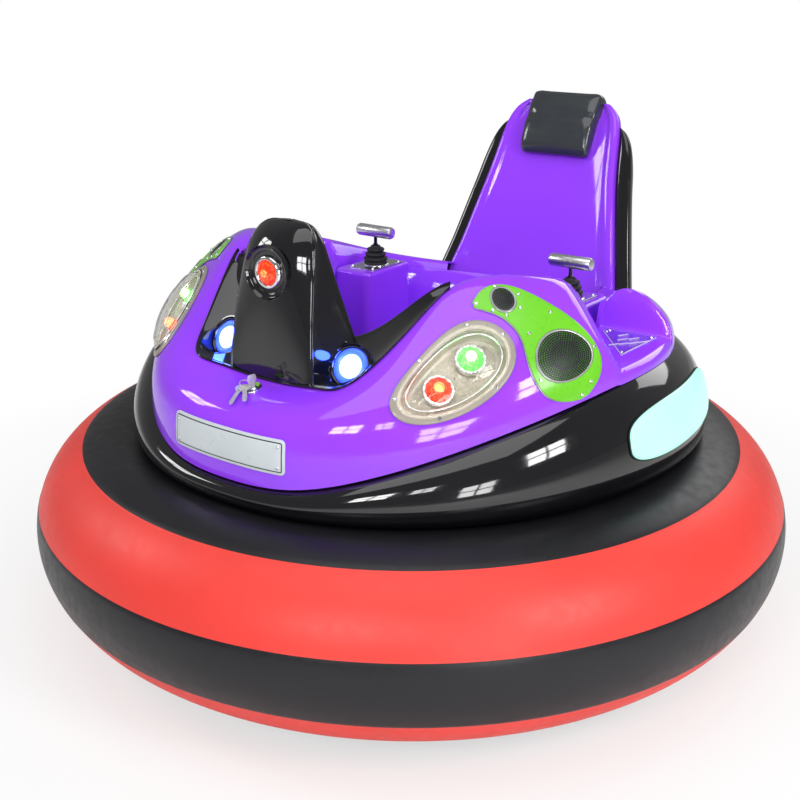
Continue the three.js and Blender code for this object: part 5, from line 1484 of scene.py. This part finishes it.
def step_plates():
    low = STEP_Z + 0.3
    corners = np.array([(542, 20), (548, 188), (424, 180), (424, 162)], float)
    outline = rounded(corners, 8, 4)
    shape = Shape().add(slab(outline, low, low + 1.6, 0.5, 2), 1)
    shape.add(slab(offset(outline, -2.6), low + 1.2, low + 2.0, 0.3, 2), 0)
    middle = np.array([500.0, 128.0])
    across, down = np.array([0.94, -0.34]), np.array([0.34, 0.94])
    # Raised bars in the pale tread colour: their paleness is painted highlight, not a colour of their own.
    for side, along_plate in ((-62, 14), (-34, 22), (-8, -4), (-6, 30), (22, -28), (22, 6), (26, 36)):
        spot = middle + down * side * 0.8 + across * along_plate
        bar = np.array(oblong(-14, -2.2, 14, 2.2))
        turned_bar = np.c_[bar[:, 0] * 0.5 - bar[:, 1] * 0.87, bar[:, 0] * 0.87 + bar[:, 1] * 0.5] + spot
        shape.add(slab(rounded(turned_bar, 2.1, 3), low + 1.6, low + 3.6, 0.9, 3), 1)
    for x, y in corners:
        inward = middle - (x, y)
        spot = np.array((x, y)) + inward / np.linalg.norm(inward) * 15
        shape.add(moved(screw(3.8, 2.4), spot[0], spot[1], low + 2.0), 2)
    build_pair(shape, "tread_plate", [TREAD, TREAD_RIM_AND_BAR_HIGHLIGHT, BRIGHT], "step_metal", "step_plate", sharp=35)


def glow_panels():
    degrees, half, high = 98, 236, 58
    place = skirt.place(degrees, 2.9)
    turn = turns(120)
    power = 2 / 3.2
    cos, sin = np.cos(turn), np.sin(turn)
    outline = np.c_[half * np.sign(cos) * np.abs(cos) ** power, high * np.sign(sin) * np.abs(sin) ** power]
    shape = Shape().add(panel_slab(place, outline, 1.2, 7.6, 3.6), 0)
    build_pair(shape, "glow_diffuser", [MINT], "glow_plastic", "glow_panel", sharp=50)
    seal = [(-3.0, 0.9), (-3.0, 2.8), (-1.2, 3.6), (0.6, 3.0), (0.6, 0.9)]
    rows = [level(place, offset(outline, -inset), height) for inset, height in seal]
    shape = Shape().add(grid(rows, across=True, around=True), 0)
    build_pair(shape, "glow_seal", [RUBBER], "glow_plastic", sharp=50)


# ---------------------------------------------------------------- running gear
def drive_tyres():
    low, high = cad_box("drive_tyre_left")
    width, outer = (high[0] - low[0]) / 2, (high[2] - low[2]) / 2
    middle = (low + high) / 2
    inner = 62.4
    wall = [(inner, 2), (inner + 12, 0.4), (outer - 11, 1), (outer - 3, 5)]
    profile = [(r, inset - width) for r, inset in wall]
    for groove in (-11, 0, 11):
        crown = outer - 0.4 - abs(groove) * 0.03
        profile += [(crown, groove - 3), (outer - 4, groove - 2), (outer - 4, groove + 2), (crown, groove + 3)]
    profile += [(r, width - inset) for r, inset in wall[::-1]]
    tyre = lathe(rounded([*profile, profile[0]], 1.2, 2, closed=False), 72)
    build_pair(Shape().add(aim(tyre, middle, (1, 0, 0))), "treaded_tyre", [TYRE], "tyre_rubber", "drive_tyre",
               body="drive_wheel_{side}", sharp=30)


KEPT = {
    "chassis_frame": FRAME_PAINT, "battery_block": CASE, "drive_motor_left": ZINC, "drive_motor_right": ZINC,
    "drive_hub_left": ZINC, "drive_hub_right": ZINC, "caster_fork_front": ZINC, "caster_fork_rear": ZINC,
    "caster_wheel_front": RUBBER, "caster_wheel_rear": RUBBER,
}
KEPT_SLOTS = {
    "chassis_frame": "frame_steel", "battery_block": "battery_case", "caster_wheel_front": "caster_rubber",
    "caster_wheel_rear": "caster_rubber",
}


def kept_nodes():
    for name, material in KEPT.items():
        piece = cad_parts[name]
        piece.data.materials.clear()
        piece.data.materials.append(material)
        bevel = piece.modifiers.new("edges", "BEVEL")
        bevel.width, bevel.segments, bevel.limit_method = 0.8 * MM, 2, "ANGLE"
        bevel.angle_limit = math.radians(40)
        KEPT_SLOTS.get(name, "zinc_metal")


# ---------------------------------------------------------------- camera, light, floor
def area(location, target, width, height, energy):
    light = bpy.data.lights.new("softbox", "AREA")
    light.shape, light.size, light.size_y = "RECTANGLE", width, height
    light.energy = energy
    holder = into_scene("softbox", light)
    holder.location = location
    holder.rotation_euler = (Vector(target) - Vector(location)).to_track_quat("-Z", "Y").to_euler()


def lamp_glow(location, energy, color):
    """Light that a lit lens throws on what stands round it."""
    light = bpy.data.lights.new("lamp_glow", "POINT")
    light.energy, light.color, light.shadow_soft_size = energy, color, 0.012
    holder = into_scene("lamp_glow", light)
    holder.location = location
    holder.visible_camera = False


def window(location, target, width, height, energy):
    """Window of four panes: the bars between them show in the gloss."""
    axis = (Vector(target) - Vector(location)).normalized()
    turn = axis.to_track_quat("-Z", "Y")
    for i in (-1, 1):
        for j in (-1, 1):
            offset_to_pane = turn @ Vector((i * width * 0.27, j * height * 0.27, 0))
            pane = Vector(location) + offset_to_pane
            area(pane, pane + axis, width * 0.46, height * 0.46, energy / 4)


def viewpoint():
    scene = bpy.context.scene
    scene.view_settings.view_transform = "Standard"
    camera = bpy.data.cameras.new("camera")
    camera.lens, camera.sensor_width = 54.42, 36.0
    holder = into_scene("camera", camera)
    holder.location = (1.6386, -2.2403, 1.4884)
    holder.rotation_euler = Vector((-0.5625, 0.7541, -0.3391)).to_track_quat("-Z", "Y").to_euler()
    scene.camera = holder


def lights():
    area((0.4, -0.9, 4.2), (0, 0, 0.6), 3.4, 2.6, 46)
    window((3.2, -0.7, 2.2), (0, 0, 0.6), 0.9, 1.15, 46)
    window((3.3, -2.3, 1.0), (0, 0, 0.7), 0.7, 1.1, 22)
    window((1.2, -3.7, 2.3), (0, 0, 0.7), 1.0, 0.95, 42)
    window((-3.0, -1.8, 2.5), (0, 0, 0.7), 1.0, 1.0, 27)
    window((2.3, -3.1, 2.3), (0, 0, 0.6), 0.5, 0.6, 9)
    area((0.5, 3.6, 2.6), (0, 0, 0.6), 3.0, 1.4, 34)
    area((0, 0, 0.004), (0, 0, 1), 0.9, 0.9, 4)
    for side in (1, -1):
        middle, axis = LAMP * (side, 1, 1), LAMP_AXIS * (side, 1, 1)
        lamp_glow((middle + axis * 34) * MM, 0.5, srgb(50, 80, 255))
        for name, color in (("red", srgb(255, 60, 25)), ("green", srgb(90, 255, 70))):
            spot = light_place(*SIDE_LAMPS[name], 4.0) * (side, 1, 1)
            lamp_glow(spot * MM, 0.06, color)


def surroundings():
    """Even light all round, white to the camera and behind clear plastic."""
    world = bpy.data.worlds.new("world")
    world.use_nodes = True
    bpy.context.scene.world = world
    tree = world.node_tree
    path = node(tree, "ShaderNodeLightPath")
    rays = {0: path.outputs["Is Camera Ray"], 1: path.outputs["Is Transmission Ray"]}
    seen = node(tree, "ShaderNodeMath", rays, operation="MAXIMUM")
    levels = {"Value": path.outputs["Is Glossy Ray"], "To Min": 0.37, "To Max": 0.24}
    lit = node(tree, "ShaderNodeMapRange", levels)
    strength = node(tree, "ShaderNodeMapRange", {"Value": seen.outputs[0], "To Min": lit.outputs["Result"]})
    background = tree.nodes["Background"]
    background.inputs["Color"].default_value = (1, 1, 1, 1)
    tree.links.new(strength.outputs["Result"], background.inputs["Strength"])


def pale_floor():
    """Plain floor that fades to white away from the car and is open from below."""
    floor_mesh = bpy.data.meshes.new("floor")
    size = 40.0
    corners = [(x, y, 0) for x, y in oblong(-size, -size, size, size)]
    floor_mesh.from_pydata(corners, [], [(0, 1, 2, 3)])
    floor = into_scene("floor", floor_mesh)
    material = bpy.data.materials.new("floor")
    material.use_nodes = True
    tree = material.node_tree
    shader = tree.nodes["Principled BSDF"]
    shader.inputs["Base Color"].default_value = (0.86, 0.86, 0.86, 1)
    shader.inputs["Roughness"].default_value = 0.9
    path = node(tree, "ShaderNodeLightPath")
    place = node(tree, "ShaderNodeTexCoord").outputs["Object"]
    away = node(tree, "ShaderNodeVectorMath", {0: place}, operation="LENGTH").outputs["Value"]
    plain = node(tree, "ShaderNodeMapRange", {"Value": away, "From Min": 0.7, "From Max": 1.9, "To Min": 0.6})
    seen = node(tree, "ShaderNodeMath", {0: path.outputs["Is Camera Ray"], 1: plain.outputs["Result"]},
                operation="MULTIPLY")
    white = node(tree, "ShaderNodeEmission", {"Color": (1, 1, 1, 1), "Strength": 1.0})
    either = node(tree, "ShaderNodeMixShader", {"Fac": seen.outputs[0]})
    tree.links.new(shader.outputs["BSDF"], either.inputs[1])
    tree.links.new(white.outputs["Emission"], either.inputs[2])
    below = node(tree, "ShaderNodeNewGeometry").outputs["Backfacing"]
    opened = node(tree, "ShaderNodeBsdfTransparent")
    sides = {"Fac": below, 1: either.outputs["Shader"], 2: opened.outputs["BSDF"]}
    sided = node(tree, "ShaderNodeMixShader", sides)
    tree.links.new(sided.outputs["Shader"], tree.nodes["Material Output"].inputs["Surface"])
    floor_mesh.materials.append(material)


viewpoint()
lights()
surroundings()
pale_floor()
bumper_ring()
skirt_shell()
body_shell()
cockpit_lining()
seat()
seat_cover()
headrest()
joystick_consoles()
joysticks()
front_fascia()
hump_beads()
nose_recess()
nose_lamp()
headlamps()
side_lights()
speaker_panels()
number_plate()
key_and_lock()
step_plates()
glow_panels()
drive_tyres()
kept_nodes()
